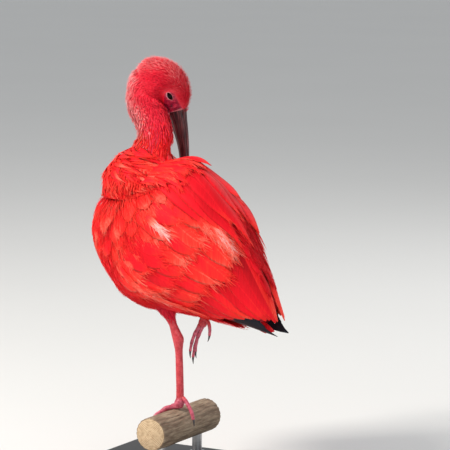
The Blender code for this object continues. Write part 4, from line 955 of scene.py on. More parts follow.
# One kind of vane grown from its roots, and its loose barbs.
def vaneBatches(surface, kind, p, q, wish, base, shrink=1.0):
    row = vaneKinds[kind]
    count = len(p)
    stations = 9
    share = steps(stations)
    heading = headingOf(surface, p, q, wish) + chance.normal(0, 0.06, count)
    length = chance.uniform(*row["length"], count) * shrink
    spineP, spineQ = spines(surface, p, q, heading, length, stations, chance.normal(0, 0.1, count))
    lift = risen(3.6, chance.uniform(*row["rise"], count), stations, 0.65)
    width = chance.uniform(*row["half"], count) * (0.4 + 0.6 * shrink)
    width = width[:, None] * outline(row["shape"], share, 0.05)
    tint = (base + chance.normal(0, row["vary"], count))[:, None] + row["lit"] * (ease(share, 0.2, 1.0) - 0.5)
    hairs = fringeBatch(spineP, spineQ, lift, width, tint, row["hairs"], row["hairLength"], (0.25, 0.5),
                        (0.35, 0.98), 0.25, surface)
    across = fineAcross if kind == "shoulder" else fair
    return [featherBatch(surface, spineP, spineQ, lift, width, across, 0.4, tint, camber=0.5), hairs]


# Waves of a few cm over the body, two of them bent by the place round it.
def slowWaves(p, q):
    waves = 0.05 * np.sin(p / 11 + 2.3 * np.sin(q * 2.7)) + 0.04 * np.sin(q * 8.3 - p / 19)
    return waves + 0.03 * np.sin(p / 5 + q * 13)


# Fine barbs strewn over the vanes of breast, belly and shoulder.
def coverBatch(p, q, wish, base, shrink=1.0):
    kind = plumeKinds["barbs"]
    frames = rootFrames(bodySurface, p, q, wish, chance.normal(0, 0.14, len(p)))
    frames.update(p=mapShare(bodySurface, p), q=q)
    tip = 0.08 * steps(kind["stations"])
    return tuftBatch(kind, drawn(kind, frames, base + slowWaves(p, q), tip, grow=shrink))


# The vanes of one part of the body, or the fine barbs over them.
def bodyCoat(kind, vanes, p, q, wish, base, shrink=1.0):
    if vanes:
        return vaneBatches(bodySurface, kind, p, q, wish, base + 0.5 * slowWaves(p, q), shrink)
    return [coverBatch(p, q, wish, base, shrink)]


shoulder = {
    # along the body, upper and lower edge of the patch in degrees
    "edges": ((-276, 66, 96), (-262, 56, 104), (-240, 46, 112), (-215, 42, 118), (-190, 40, 124),
              (-172, 40, 126)),
    "heading": ((-276, 50.0), (-240, 40.0), (-210, 26.0), (-175, 10.0)),
}


# A table's columns read at places along its first column.
def readTable(rows, at):
    columns = np.array(rows, float).T
    return [np.interp(at, columns[0], column) for column in columns[1:]]


# The wished direction: the body's axis turned down by an angle.
def fallingBy(turn):
    return alongDir * np.cos(turn)[:, None] - aboveDir * np.sin(turn)[:, None]


# The patch of scapular and lesser coverts that hides the wing's bend.
def shoulderBatches(side, vanes):
    pace = (vaneKinds["shoulder"] if vanes else plumeKinds["barbs"])["pace"]
    p, q = rootRows(bodySurface, (shoulder["edges"][0][0], shoulder["edges"][-1][0]), pace, (0.6, 2.3))
    angle = np.degrees(q)
    upper, lower = readTable(shoulder["edges"], p)
    thinned = chance.uniform(0, 1, len(p)) > ease(p, -212, -176)
    keep = (np.minimum(angle - upper, lower - angle) > 0) & thinned
    p, q = p[keep], side * q[keep]
    turn = np.radians(readTable(shoulder["heading"], p)[0]) * np.sin(np.abs(q))
    wish = fallingBy(turn + (np.abs(q) - 1.4) * 0.25)
    # the wings' painted highlights and shade carry on over the shoulder at six tenths
    return bodyCoat("shoulder", vanes, p, q, wish, 0.56 + wingLightAndShade(p, q) * 0.6)


for name, side in (("wing_left", -1.0), ("wing_right", 1.0)):
    settled(featherPiece(name + "_feathers", wingBatches(side), vaneFeather), "scarlet", name)
    batches = shoulderBatches(side, True) + shoulderBatches(side, False)
    settled(featherPiece(name + "_shoulder", batches, softFeather), "scarlet")
print("scene: wings")

# The mantle: cape feathers over the shoulders and the long scapulars on both sides.
cape = {
    # root along, tip along, count, outer angle at root and tip, half width, height at the tip
    "rows": (
        (-264, -228, 13, 36, 46, 6.5, 4.0),
        (-254, -214, 14, 37, 49, 7.0, 4.6),
        (-244, -204, 13, 36, 48, 7.5, 5.0),
        (-236, -192, 12, 35, 46, 8.0, 5.2),
        (-226, -184, 10, 32, 42, 8.5, 5.4),
    ),
    # root along, root angle, tip along, tip angle, half width, height at the tip
    "scapulars": (
        (-196, 4, -112, 5, 10.0, 3.4),
        (-200, 16, -90, 16, 11.0, 4.4),
        (-206, 26, -112, 25, 11.0, 4.6),
        (-205, 32, -88, 31, 11.5, 3.8),
        (-210, 39, -110, 39, 11.0, 3.4),
        (-214, 46, -132, 48, 10.0, 2.8),
    ),
    # ruffled ones on the far side, the same way, and how far their outer edge stands up
    "ruffled": (
        (-238, 8, -186, 8, 8.0, 11.0, 5.0),
        (-232, 18, -182, 20, 8.0, 6.0, 4.0),
        (-206, 12, -136, 13, 10.5, 9.0, 7.0),
        (-200, 20, -128, 18, 10.5, 7.0, 6.0),
        (-172, 16, -94, 14, 10.5, 6.0, 6.0),
    ),
}

# Fans of cape feathers over the back, then the long scapulars of both sides and the ruffled ones.
def mantleBatches():
    batches = []
    share = steps(14)
    sunk = 1 - ease(share, 0, 0.15)
    for root, tip, count, fromAngle, toAngle, half, high in cape["rows"]:
        place = np.linspace(-1, 1, count) + chance.uniform(-0.05, 0.05, count)
        p = root + (tip - root + chance.uniform(-5, 5, count))[:, None] * share
        q = np.radians(place[:, None] * within((fromAngle, toAngle), share))
        raised = (high - 2.4 + chance.uniform(-0.7, 0.7, (count, 1))) * share ** 1.3
        lift = 2.4 + raised - 3 * (1 - ease(share, 0, 0.2))
        width = half * chance.uniform(0.8, 1.15, (count, 1)) * outline("pointed", share)
        # paler towards the tip: painted highlight; darker towards the covered root: painted shade
        tint = 0.52 + chance.uniform(-0.09, 0.09, (count, 1)) + 0.12 * ease(share, 0.4, 1)
        tint = tint - 0.12 * (1 - share)
        batches += broadVanes(p, q, lift, width, 0.5, tint, capeHairs, camber=0.6, lap=0.8 * np.sign(place))

    def scapulars(rows, p, side, power, tint, hairs=None, **more):
        q = side * np.radians(between(rows[:, 1], rows[:, 3], share))
        lift = 2.4 + (rows[:, 5:6] - 2.4) * share ** 1.3 - 4 * sunk
        width = rows[:, 4:5] * outline("pointed", share ** power)
        return broadVanes(p, q, lift, width, 0.6, tint, hairs, **more)

    rows = np.array(cape["scapulars"], float)
    count = len(rows)
    for side in (-1.0, 1.0):
        p = rows[:, :1] + (rows[:, 2:3] - rows[:, :1] + chance.uniform(-3, 3, (count, 1))) * share
        # paler towards the tip: painted highlight
        tint = 0.42 + chance.uniform(-0.08, 0.08, (count, 1)) + 0.2 * ease(share, 0.55, 1)
        batches += scapulars(rows, p, side, 1.2, tint, scapularHairs, camber=1.2, lap=side * 1.6)
    rows = np.array(cape["ruffled"], float)
    # paler towards the tip: painted highlight
    tint = 0.46 + chance.uniform(-0.05, 0.05, (len(rows), 1)) + 0.16 * ease(share, 0.5, 1)
    return batches + scapulars(rows, between(rows[:, 0], rows[:, 2], share), 1, 1.3, tint, camber=0.8,
                               lap=rows[:, 6])


settled(featherPiece("mantle_feathers", mantleBatches(), vaneFeather), "scarlet", "mantle")
print("scene: mantle")

tail = {"feathers": 12, "root": -70.0, "tip": -13.0, "spread": (6.0, 9.0), "half": 5.8, "tint": 0.42}


# A closed fan: flat vanes side by side, each outer one a little lower, between two faces a thickness apart.
def tailBatch():
    share = steps(12)[None, :, None]
    place = np.linspace(-1, 1, tail["feathers"])[:, None, None]
    across = fineAcross + 0 * share * place
    reach = tail["root"] + (tail["tip"] - 5 * np.abs(place) - tail["root"]) * share + 0 * across
    half = tail["half"] * outline("blunt", share)
    aside = place * within(tail["spread"], share) + half * across
    height = 3 - 3.4 * np.abs(place) - 3.5 * share + 0.5 * (1 - across ** 2) - 0.5 * across * np.sign(place)
    thick = 0.6 * (1 - np.abs(across) ** 3)
    spot = tipPoint + alongDir * reach[..., None] + sideDir * aside[..., None]
    run = share * (tail["tip"] - tail["root"])
    return packed(spot, aboveDir, height, thick / 2, fineAcross, half[..., 0], run, tail["tint"], 0.0,
                  0.1 + place * 0.03, 0.5 + place * 0.2, vanePatch)


settled(featherPiece("tail_feathers", [tailBatch()], vaneFeather), "scarlet", "tail")

# The coat of body, neck and head. Each list of roots keeps only those outside the neighbouring forms.
body = {
    "depth": 5.0,  # how far the skin lies under the coat
    "neckDepth": 2.2,
    "heading": ((-288.0, 56.0), (-250.0, 50.0), (-200.0, 34.0), (-150.0, 17.0), (-60.0, 2.0)),
    # where the wings and the mantle hide the coat: along, upper and lower edge in degrees from the back
    "hidden": ((-262, 78, 90), (-240, 52, 106), (-200, 30, 120), (-150, 30, 134), (-110, 26, 150),
               (0, 16, 152)),
}


# One side of the body's coat, left out where wings and mantle hide it.
def growBody(name, vanes, sweep):
    kind = vaneKinds["breast"] if vanes else plumeKinds["barbs"]
    p, q = rootRows(bodySurface, (-286, -30), kind["pace"], sweep)
    point = bodySurface(p, q)[0]
    angle = np.degrees(np.abs((q + math.pi) % fullTurn - math.pi))
    upper, lower = readTable(body["hidden"], p)
    covered = (p > -262) & (angle > upper) & (angle < lower)
    covered |= (angle <= upper) & (p > -252) & (p < -150)
    covered |= (angle >= lower) & (p > -86)
    covered |= (angle < 60) & (p > -66)
    keep = ~covered & (insideNeck(point) > 0.7) & (insideHead(point) > 1)
    p, q, angle = p[keep], q[keep], angle[keep]
    wish = fallingBy(np.radians(readTable(body["heading"], p)[0]) * np.abs(np.sin(q)))
    # Painted shade: darker on the back between the wings towards the tail, and on the underside.
    base = 0.5 - 0.16 * ((angle < 60) & (p > -160)) - 0.06 * ease(angle, 120, 160)
    batches = bodyCoat("breast", vanes, p, q, wish, base, 0.5 + 0.5 * ease(p, -288, -250))
    settled(featherPiece(name, batches, softFeather), "scarlet")


for name, sweep in (("left", (-math.pi, 0.0)), ("right", (0.0, math.pi))):
    growBody("coat_body_" + name, True, sweep)
    growBody("barbs_body_" + name, False, sweep)

# Plumes on the neck and on its rounded top, laid down the neck; the nape, paler by a painted highlight in
# tint and tips, stands out a little.
def growNeck():
    kind = plumeKinds["neck"]
    spots = []
    for surface, span, ends, stray in ((neckSurface, (0.0, 0.86), (0.01, 0.99), 0.16),
                                       (napeSurface, (0.12, 0.98), (0.0, 1.1), 0.2)):
        p, q = rootRows(surface, span, kind["pace"])
        at = np.clip(p, *ends)
        ahead = unit(measured(surface, at, q)[2])
        frames = rootFrames(surface, at, q, ahead, chance.normal(0, stray, len(p)))
        spots.insert(0, {**frames, "p": p if surface is neckSurface else 0 * p, "q": q})
    frames = {key: np.concatenate([spot[key] for spot in spots]) for key in spots[0]}
    frames = picked(frames, (insideHead(frames["point"]) > 0.9) & (insideBody(frames["point"]) > 0.99))
    p, q = frames["p"], frames["q"]
    low = ease(p, 0.5, 0.78)
    nape = ease(-np.cos(q), 0.0, 0.9) * (1 - 0.92 * ease(p, 0.42, 0.66))
    throat = ease(np.cos(q), 0.4, 1.0) * (1 - low)
    # The nape's paler tint and tips are a painted highlight.
    tip = (0.07 + 0.17 * nape)[:, None] * ease(steps(kind["stations"]), 0.15, 1.0)
    out = 0.8 * (nape + 3.6 * throat * ease(p, 0, 0.1)) - 2.0
    drawn(kind, frames, 0.5 + 0.15 * nape + 0.07 * low, tip, out, grow=1 + 1.3 * low, broad=1 + 1.1 * low,
          stand=1 + 1.3 * nape + 0.7 * low)
    base = chance.uniform(0, 1, len(p)) < ease(p, 0.4, 0.6)
    for name, part, material, slot in (("coat_neck", ~base, plumeFeather, "neck"),
                                       ("coat_neck_base", base, softFeather, "scarlet")):
        settled(featherPiece(name, [tuftBatch(kind, picked(frames, part))], material), slot)


growNeck()

capeEdge = {
    # kind of vane, stretch of the neck, pull down the neck, least distance from the body's axis
    "rounds": (("cape", (0.62, 0.9), 0.55, 0.8), ("breast", (0.66, 0.97), 1.6, 0.75)),
    "wish": (0.8, 0.0, -0.22),
    "tint": 0.55,
}


# Pointed feathers round the neck's base: they flow back over the shoulders and down at the breast, and their
# raised tips overhang the coat below.
def growCape():
    batches = []
    for kind, span, pull, reach in capeEdge["rounds"]:
        p, q = rootRows(capeSurface, span, vaneKinds["cape"]["pace"])
        keep = insideBody(neckSurface(p, q)[0]) > reach
        p, q = p[keep], q[keep]
        wish = np.array(capeEdge["wish"]) + unit(measured(capeSurface, p, q)[2]) * pull
        base = capeEdge["tint"] + 0.5 * slowWaves(-260 + 40 * p, q)
        batches += vaneBatches(capeSurface, kind, p, q, wish, base, 1 - 0.3 * ease(p, 0.7, 0.86))
    settled(featherPiece("coat_cape", batches, softFeather), "scarlet")


growCape()

# Plumes of the head, turning round the flow's centre, longest away from the bare face and low at the back.
def growHead():
    kind = plumeKinds["head"]
    p, q = rootRows(headSurface, (0.004, 0.985), kind["pace"])
    point = headSurface(p, q)[0]
    forward, up, _ = headCoordinates(point)
    flowForward, flowUp = head["flowCentre"]
    wish = headForward * (-(up - flowUp))[:, None] + headUp * (forward - flowForward)[:, None]
    frames = rootFrames(headSurface, p, q, wish, chance.normal(0, 0.15, len(p)))
    bare, clear = outsideBare(point), insideNeck(point)
    keep = (clear > 0.86) & (bare + chance.uniform(-0.8, 0.8, len(p)) > 0)
    frames = picked({**frames, "p": p, "q": q}, keep)
    bare, forward, up, clear = (values[keep] for values in (bare, forward, up, clear))
    clear, grown, back = ease(clear, 0.9, 1.9), ease(bare, 0, 16), ease(-forward, 10, 40)
    rim = ease(np.hypot(forward + 23, up - 20), 27, 42)
    # Painted highlight: paler plumes and tips round the rim at the back and top of the head, and on the brow.
    pale = rim * ease(forward * -0.8 + up * 0.7, 12, 62) * (1 - 0.3 * ease(up, 38, 52))
    brow = ease(forward, -12, 4) * ease(up, 14, 28)
    tip = (0.05 + 0.26 * pale + 0.12 * brow)[:, None] * ease(steps(kind["stations"]), 0.15, 1.0)
    out = (0.9 * grown + 0.8 * back) * (0.5 + 0.5 * clear) - 0.4
    drawn(kind, frames, 0.49 + 0.13 * pale + 0.05 * brow, tip, out,
          grow=within(kind["fullLength"], grown) * (1 - 0.55 * ease(-forward, 14, 34)),
          broad=within(kind["fullHalf"], grown), stand=0.6 + 0.9 * grown + (0.5 * back + 0.5 * rim) * clear)
    settled(featherPiece("coat_head", [tuftBatch(kind, frames)], plumeFeather), "face")


growHead()

legs = {
    "thighTop": (-17.0, -18.0, 138.0),
    "hock": (1.0, -10.0, 82.0),
    "foot": (0.0, -5.0, 3.0),
    "toeRadius": 3.1,
    "toeTip": 2.0,
    "clawLength": 11.0,
    "frontToes": (("middle", -4.0, 52.0), ("outer", -36.0, 45.0), ("inner", 30.0, 40.0)),
    "tuckedFoot": (22.0, 12.0, 100.0),
    "tuckedToes": (("middle", 0.0, 44.0), ("outer", 7.0, 38.0), ("inner", -7.0, 35.0)),
}
thighTop, hock = np.array(legs["thighTop"]), np.array(legs["hock"])
legDown = unit(hock - thighTop)


# Soft feathers of the tibia and the vent, which hang over the bare part of the legs.
def growThigh():
    rows = [(*(thighTop + legDown * at), *halves) for at, *halves in (
        (0, 18.5, 12.5), (10, 17, 12.5), (20, 13, 10.6), (30, 8.2, 7.2), (38, 5.6, 5.2))]
    table = smoothRows(rows, 60)
    tangent = unit(np.gradient(table[:, :3], axis=0))
    first = unit(np.array((1.0, 0, 0)) - tangent[:, :1] * tangent)
    surface = ringSurface(table[:, :3], first * table[:, 3:4], np.cross(tangent, first) * table[:, 4:5])
    stepOf[surface] = 0.01
    kind = plumeKinds["thigh"]
    p, q = rootRows(surface, (0.0, 0.9), kind["pace"])
    frames = rootFrames(surface, np.clip(p, 0.02, 0.98), q, legDown, chance.normal(0, 0.14, len(p)))
    frames.update(p=0.3 * p, q=q)
    end = ease(p, 0.3, 1.0)
    drawn(kind, frames, 0.38, 0.1 * steps(kind["stations"]), -0.8, grow=1 - 0.45 * end, broad=1 - 0.3 * end,
          stand=1 - 0.5 * end)
    settled(featherPiece("coat_thigh", [tuftBatch(kind, frames)], plumeFeather), "scarlet")


growThigh()
print("scene: coats")
branch = {"axis": (-4.0, -24.0), "radius": 20.0, "length": 132.0, "relief": 1.1}
skinParts = []
clawParts = []


# Rings round a path of rows (x, y, z and two half axes), the first axis lying towards `across`.
def limbRings(rows, count, sides, across, relief=None):
    table = smoothRows(rows, count)
    centre = table[:, :3]
    tangent = unit(np.gradient(centre, axis=0))
    across = np.asarray(across, float)
    first = unit(across - (tangent @ across)[:, None] * tangent)
    second = np.cross(tangent, first)
    turn = turns(sides)
    run = np.concatenate(([0], np.cumsum(np.linalg.norm(np.diff(centre, axis=0), axis=1))))
    swell = 0.0 if relief is None else relief(run[:, None], turn[None, :])
    a = (table[:, 3, None] + swell) * np.cos(turn)
    b = (table[:, 4, None] + swell) * np.sin(turn)
    return centre[:, None] + first[:, None] * a[..., None] + second[:, None] * b[..., None]


# Rows of six-sided scales: grooves where the distance to the cell's edge is small.
def scales(run, turn, height=3.6, around=9, deep=0.22):
    row = run / height
    column = turn / fullTurn * around + np.floor(row) % 2 * 0.5
    edge, side = (np.abs(value % 1 - 0.5) * 2 for value in (row, column))
    return -deep * np.maximum(edge ** 6, side ** 6)


# Broad plates along a toe: grooves all round it every few mm.
def scutes(run, turn, height=2.5, deep=0.2):
    return -deep * (np.abs(run / height % 1 - 0.5) * 2) ** 5 + 0 * turn


# Places round the branch's top, from how far they reach forward over it and how high they are above it.
def branchPlace(reach, y, above):
    radius = branch["radius"] + 0.3 + above
    turn = np.asarray(reach, float) / (branch["radius"] + legs["toeRadius"])
    x = branch["axis"][0] - radius * np.sin(turn)
    z = branch["axis"][1] + radius * np.cos(turn)
    return np.column_stack([x, np.broadcast_to(y, x.shape), z])


# Toe radii that shrink to the tip and swell at three pads.
def toeRadii(share):
    return within((legs["toeRadius"], legs["toeTip"]), share) * (1 + 0.1 * np.cos(fullTurn * 3 * share))


# Radii that close to a point.
def clawRadii(radius, share):
    return radius * (1 - share) ** 0.7 + 0.05


# A claw of round rings, kept for its piece.
def addClaw(name, places, radii, across):
    clawParts.append((name, limbRings(np.column_stack([places, radii, radii]), 26, 16, across)))


# A claw that runs on from a toe's last ring and bends along X with the square of the share.
def hangingClaw(name, rows, length, bend):
    table = smoothRows(rows, 12)
    end = table[-1, :3]
    tip = steps(7)
    run = (length + 1.5) * tip - 1.5
    place = end + unit(end - table[-2, :3]) * run[:, None] + np.array((bend, 0, 0)) * (tip ** 2)[:, None]
    addClaw(name, place, clawRadii(table[-1, 3] * 0.86, tip), sideDir)


# Toes laid over the branch, each in its own direction, and the hind toe that hangs behind it.
def standingLeg():
    foot = np.array(legs["foot"])
    end = thighTop + (hock - thighTop) * 0.56
    rows = [(*(start + legDown * at), *halves) for start, at, *halves in (
        (thighTop, 0, 14.5, 9.5), (thighTop, 10, 13, 9.5), (thighTop, 20, 8.6, 7.8), (end, 0, 5.2, 4.8),
        (end, 8, 5.0, 4.4), (hock, -6, 6.4, 5.4), (hock, 0, 7.0, 6.0))]
    rows += [(hock[0] + 0.3, hock[1] + 0.2, hock[2] - 7, 5.8, 5.0),
             (hock[0] + 0.4, hock[1] + 0.8, hock[2] - 14, 4.9, 4.0), (1.4, -7.8, 45, 4.8, 4.0),
             (0.9, -6, 18, 4.8, 4.1), (0.2, foot[1], 9, 5.0, 4.5), (0, foot[1], 6, 5.8, 5.6),
             (-0.8, foot[1], 2.4, 6.2, 6.4), (-1.4, foot[1], -1.6, 4.8, 5.2)]
    skinParts.append(limbRings(rows, 260, 48, (1.0, 0.0, 0.0),
                               lambda run, turn: scales(run, turn) * ease(run, 42, 50)))
    toeSide = (0, 1, 0.3)
    share = steps(12)
    tip = steps(6)
    for name, splay, length in legs["frontToes"]:
        ahead, aside = math.cos(math.radians(splay)), math.sin(math.radians(splay))
        reach = -2 + length * share * ahead
        radii = toeRadii(share)
        centres = branchPlace(reach, foot[1] + length * share * aside, radii)
        skinParts.append(limbRings(np.column_stack([centres, radii, radii]), 120, 24, toeSide, scutes))
        run = (legs["clawLength"] + 1.5) * tip - 1.5
        above = legs["toeTip"] + 1.2 * np.sin(math.pi * tip) - (legs["toeTip"] - 0.4) * tip ** 1.5
        centres = branchPlace(reach[-1] + run * ahead, foot[1] + (length + run) * aside, above)
        addClaw("claw_left_" + name, centres, clawRadii(1.7, tip), toeSide)
    y = foot[1]
    rows = [(3, y, 11, 2.6, 2.6), (8, y - 1, 7.5, 2.7, 2.7), (13.5, y - 2, 1.5, 2.4, 2.4),
            (18.5, y - 3, -6.5, 2.3, 2.3), (21, y - 3.5, -14, 1.9, 1.9)]
    skinParts.append(limbRings(rows, 80, 20, sideDir, scutes))
    hangingClaw("claw_left_hallux", rows, 9.0, -1.5)


# The raised foot: its toes hang side by side from the folded leg.
def tuckedLeg():
    foot = np.array(legs["tuckedFoot"])
    rows = np.array(((6, 1, 36, 5.6, 4.8), (5, 1, 22, 5.0, 4.2), (2, 0.5, 8, 4.8, 4.2), (0, 0, 0, 5.4, 5.6),
                     (-0.8, 0, -3.5, 4.6, 5.4))) + (*foot, 0, 0)
    skinParts.append(limbRings(rows, 90, 36, (1, 0, 0), scales))
    for name, sideways, length in legs["tuckedToes"]:
        share = steps(10)
        place = foot + np.array((-0.8, 0, -2.0)) + np.stack([
            -length * 0.33 * share - 2.5 * np.sin(math.pi * share) + (1.8 if name == "middle" else -1.0),
            sideways * (0.55 + 0.45 * share), -length * 0.92 * share], axis=-1)
        radii = toeRadii(share) * 0.84
        rows = np.column_stack([place, radii, radii])
        skinParts.append(limbRings(rows, 110, 22, sideDir, scutes))
        hangingClaw("claw_right_" + name, rows, 9.0, 2.0)
    rows = np.array(((4, -1.5, 6, 2.4, 2.4), (9, -2.5, 2, 2.4, 2.4), (11.5, -3, -6, 2.0, 2.0),
                     (11, -3, -14, 1.7, 1.7))) + (*foot, 0, 0)
    skinParts.append(limbRings(rows, 60, 18, sideDir, scutes))
    hangingClaw("claw_right_hallux", rows, 8.0, -2.0)


# The folded skin of the throat, from the chin to the bent neck.
def throat():
    rows = [(*headPlace(forward, up), tall, wide) for forward, up, tall, wide in (
        (-6.0, 4.0, 6.0, 8.0), (-12.0, 1.5, 7.0, 8.5), (-19.0, 1.0, 8.5, 9.5), (-27.0, 2.0, 10.0, 11.0))]
    skinParts.append(limbRings(rows, 30, 36, headSide))


standingLeg()
tuckedLeg()
throat()


# A surface's rings moved inwards by a depth.
def ringsUnder(surface, p, sides, depth):
    q = turns(sides)
    point, normal, _, _ = measured(surface, p[:, None], q[None, :])
    return point - normal * depth


eyes = {
    "place": (-5.6, 23.2),
    "radius": 7.0,
    "inset": 9.7,
    "opening": (5.4, 3.0),
    "tilt": -60.0,
    # three folds of lid: how far outside the opening, half width, half thickness, height over the ball
    "lids": ((0.4, 0.5, 0.5, 0.3), (1.5, 0.8, 0.6, 0.55), (2.9, 0.9, 0.6, 0.75)),
}


# Outline of the lids: an oval drawn out to a point at both ends, its long axis tilted.
def almond(wide, tall):
    turn = turns(60)
    tilt = math.radians(eyes["tilt"])
    long = wide * np.cos(turn)
    short = tall * np.sin(turn) * (0.45 + 0.55 * np.abs(np.sin(turn)))
    return long * math.cos(tilt) - short * math.sin(tilt), long * math.sin(tilt) + short * math.cos(tilt)


# Rings of skin round an eye: each is an almond at an angle from the eye's axis that follows the ball, with a
# rounded section that grows from the opening's rim outwards.
def lidRings(side, reach, out, thick, proud):
    roll = turns(18)
    a, b = almond(eyes["opening"][0] + reach, eyes["opening"][1] + reach)
    away = np.hypot(a, b)
    depth = np.sqrt(np.maximum((eyes["radius"] + proud) ** 2 - away ** 2, 1.0))
    rel = headForward * a[:, None] + headUp * b[:, None] + headSide * side * depth[:, None]
    spot, ball = headPlace(*eyes["place"], side * eyes["inset"]) + rel, unit(rel)
    tangent = unit(np.gradient(np.vstack([spot[-1:], spot, spot[:1]]), axis=0)[1:-1])
    flat = np.cross(tangent, ball)
    return (spot[:, None] + flat[:, None] * (out * np.cos(roll))[:, None]
            + ball[:, None] * (thick * np.sin(roll))[:, None])


# The hole in the skin over an eye: an oval prism from inside the ball to outside the head.
def openingRings(side):
    a, b = almond(eyes["opening"][0] + 0.5, eyes["opening"][1] + 0.5)
    level = eyes["inset"] + np.array((2.0, 13.0))
    return headPlace((eyes["place"][0] + a)[None], (eyes["place"][1] + b)[None], side * level[:, None])


# Faces of a closed ring of rings.
def torusFaces(rings, sides):
    ring, side = np.arange(rings)[:, None], np.arange(sides)[None]
    after, beside = (ring + 1) % rings, (side + 1) % sides
    corners = [ring * sides + side, ring * sides + beside, after * sides + beside, after * sides + side]
    return np.stack(corners, axis=-1).reshape(-1, 4)


# One closed skin: body, neck and head under their coats, joined with legs and throat, cut open over the eyes
# and edged with lids. The bare face bears fine folds in arcs round the eye.
def makeSkin():
    plain = bpy.data.materials.new("skin_parts")
    bodyRings = ringsUnder(bodySurface, np.linspace(-283, -30, 60), 64, body["depth"])
    topRings = ringsUnder(napeSurface, np.linspace(0.04, 0.92, 12), 56, body["neckDepth"])
    neckRings = ringsUnder(neckSurface, np.linspace(0.01, 0.93, 90), 56, body["neckDepth"])
    neckRings = np.concatenate([topRings, neckRings])
    p = np.linspace(0.0, 0.99, 150)
    q = turns(150)
    point, normal, _, _ = measured(headSurface, p[:, None], q[None, :])
    bare = outsideBare(point)
    forward, up, side = headCoordinates(point)
    nearBill = (1 - ease(p, 0, 0.16))[:, None]
    tilted = nearBill * (0.38 * forward)
    raised = tilted + nearBill * 0.3 * np.abs(side)
    point = point + headUp * raised[..., None] + headForward * (np.minimum(tilted, 0) * 0.45)[..., None]
    eyeForward, eyeUp = eyes["place"]
    fold = 0.16 * np.sin(1.7 * np.hypot(forward - eyeForward, up - eyeUp) + 0.9 * np.sin(forward))
    headRings = point + normal * (np.where(bare < 0, fold, 0) - 1.4 * ease(bare, 0, 5))[..., None]
    made = tube("skin", headRings, plain)
    joined(made, [tube("part", rings, plain) for rings in [bodyRings, neckRings, *skinParts]], "UNION")
    cuts, lids = [], []
    for side in (-1.0, 1.0):
        cuts.append(eyeBall("socket", side, eyes["radius"] + 0.05, plain))
        cuts.append(tube("opening", openingRings(side), plain))
    joined(made, cuts, "DIFFERENCE")
    for side in (-1.0, 1.0):
        for lid in eyes["lids"]:
            rings = lidRings(side, *lid)
            lids.append(meshFrom("lid", rings.reshape(-1, 3), [torusFaces(*rings.shape[:2])], plain))
    joined(made, lids, "UNION")
    return made


# One Boolean with closed pieces, applied, and the pieces removed.
def joined(piece, others, operation):
    group = bpy.data.collections.new("pieces")
    for other in others:
        bpy.context.scene.collection.objects.unlink(other)
        group.objects.link(other)
    bpy.context.scene.collection.children.link(group)
    modifier = piece.modifiers.new("join", "BOOLEAN")
    modifier.operation = operation
    modifier.operand_type = "COLLECTION"
    modifier.collection = group
    modifier.solver = "MANIFOLD"
    shown = piece.evaluated_get(bpy.context.evaluated_depsgraph_get())
    mesh = bpy.data.meshes.new_from_object(shown)
    old = piece.data
    piece.modifiers.clear()
    piece.data = mesh
    bpy.data.meshes.remove(old)
    for other in list(group.objects):
        bpy.data.objects.remove(other, do_unlink=True)
    bpy.data.collections.remove(group)


# A ball whose front bulges by a twentieth of its radius, for the clear dome of the eye.
def eyeBall(name, side, radius, material):
    polar = np.linspace(0.02, math.pi - 0.02, 48)[:, None, None]
    turn = turns(64)[None, :, None]
    bulge = radius * (1 + 0.05 * np.exp(-(polar / 0.5) ** 2))
    centre = headPlace(*eyes["place"], side * eyes["inset"])
    around = headForward * np.cos(turn) + headUp * np.sin(turn)
    rings = centre + bulge * (headSide * side * np.cos(polar) + around * np.sin(polar))
    return tube(name, rings, material, {"polar": (polar / math.pi + 0 * turn).ravel()})


# Colours by region: each is a mix of a broad and a fine noise through its ramp, laid on by the region's mask.
def skinMaterial():
    made, tree, shader = surfaceOf("skin", 0.42, Subsurface_Weight=0.12, Subsurface_Scale=0.002,
                                   Specular_IOR_Level=0.45)
    place = objectPlace(tree)
    grain = noise(tree, place, (900, 900, 900))
    broad = noise(tree, place, (230, 230, 230), roughness=0.6)
    colour = ramp(tree, mixed(tree, broad, 0.7, grain, 0.3), (
        (0.36, (0.1, 0.0, 0.016)), (0.52, (0.36, 0.003, 0.036)), (0.68, (0.66, 0.05, 0.1))))
    leg = ramp(tree, mixed(tree, broad, 0.6, grain, 0.4), (
        (0.3, (0.32, 0.008, 0.018)), (0.5, (0.56, 0.035, 0.05)), (0.72, (0.68, 0.12, 0.13))))
    toe = ramp(tree, broad, ((0.3, (0.3, 0.02, 0.05)), (0.6, (0.6, 0.12, 0.18)), (0.8, (0.7, 0.25, 0.28))))
    for mask, over in (("leg", leg), ("toe", toe), ("coat", (0.7, 0.005, 0.028, 1)),
                       ("lid", (0.82, 0.3, 0.33, 1))):
        colour = blended(tree, attribute(tree, mask), colour, over)
    dressed(tree, shader, colour, grain, 0.25, 0.6)
    return made


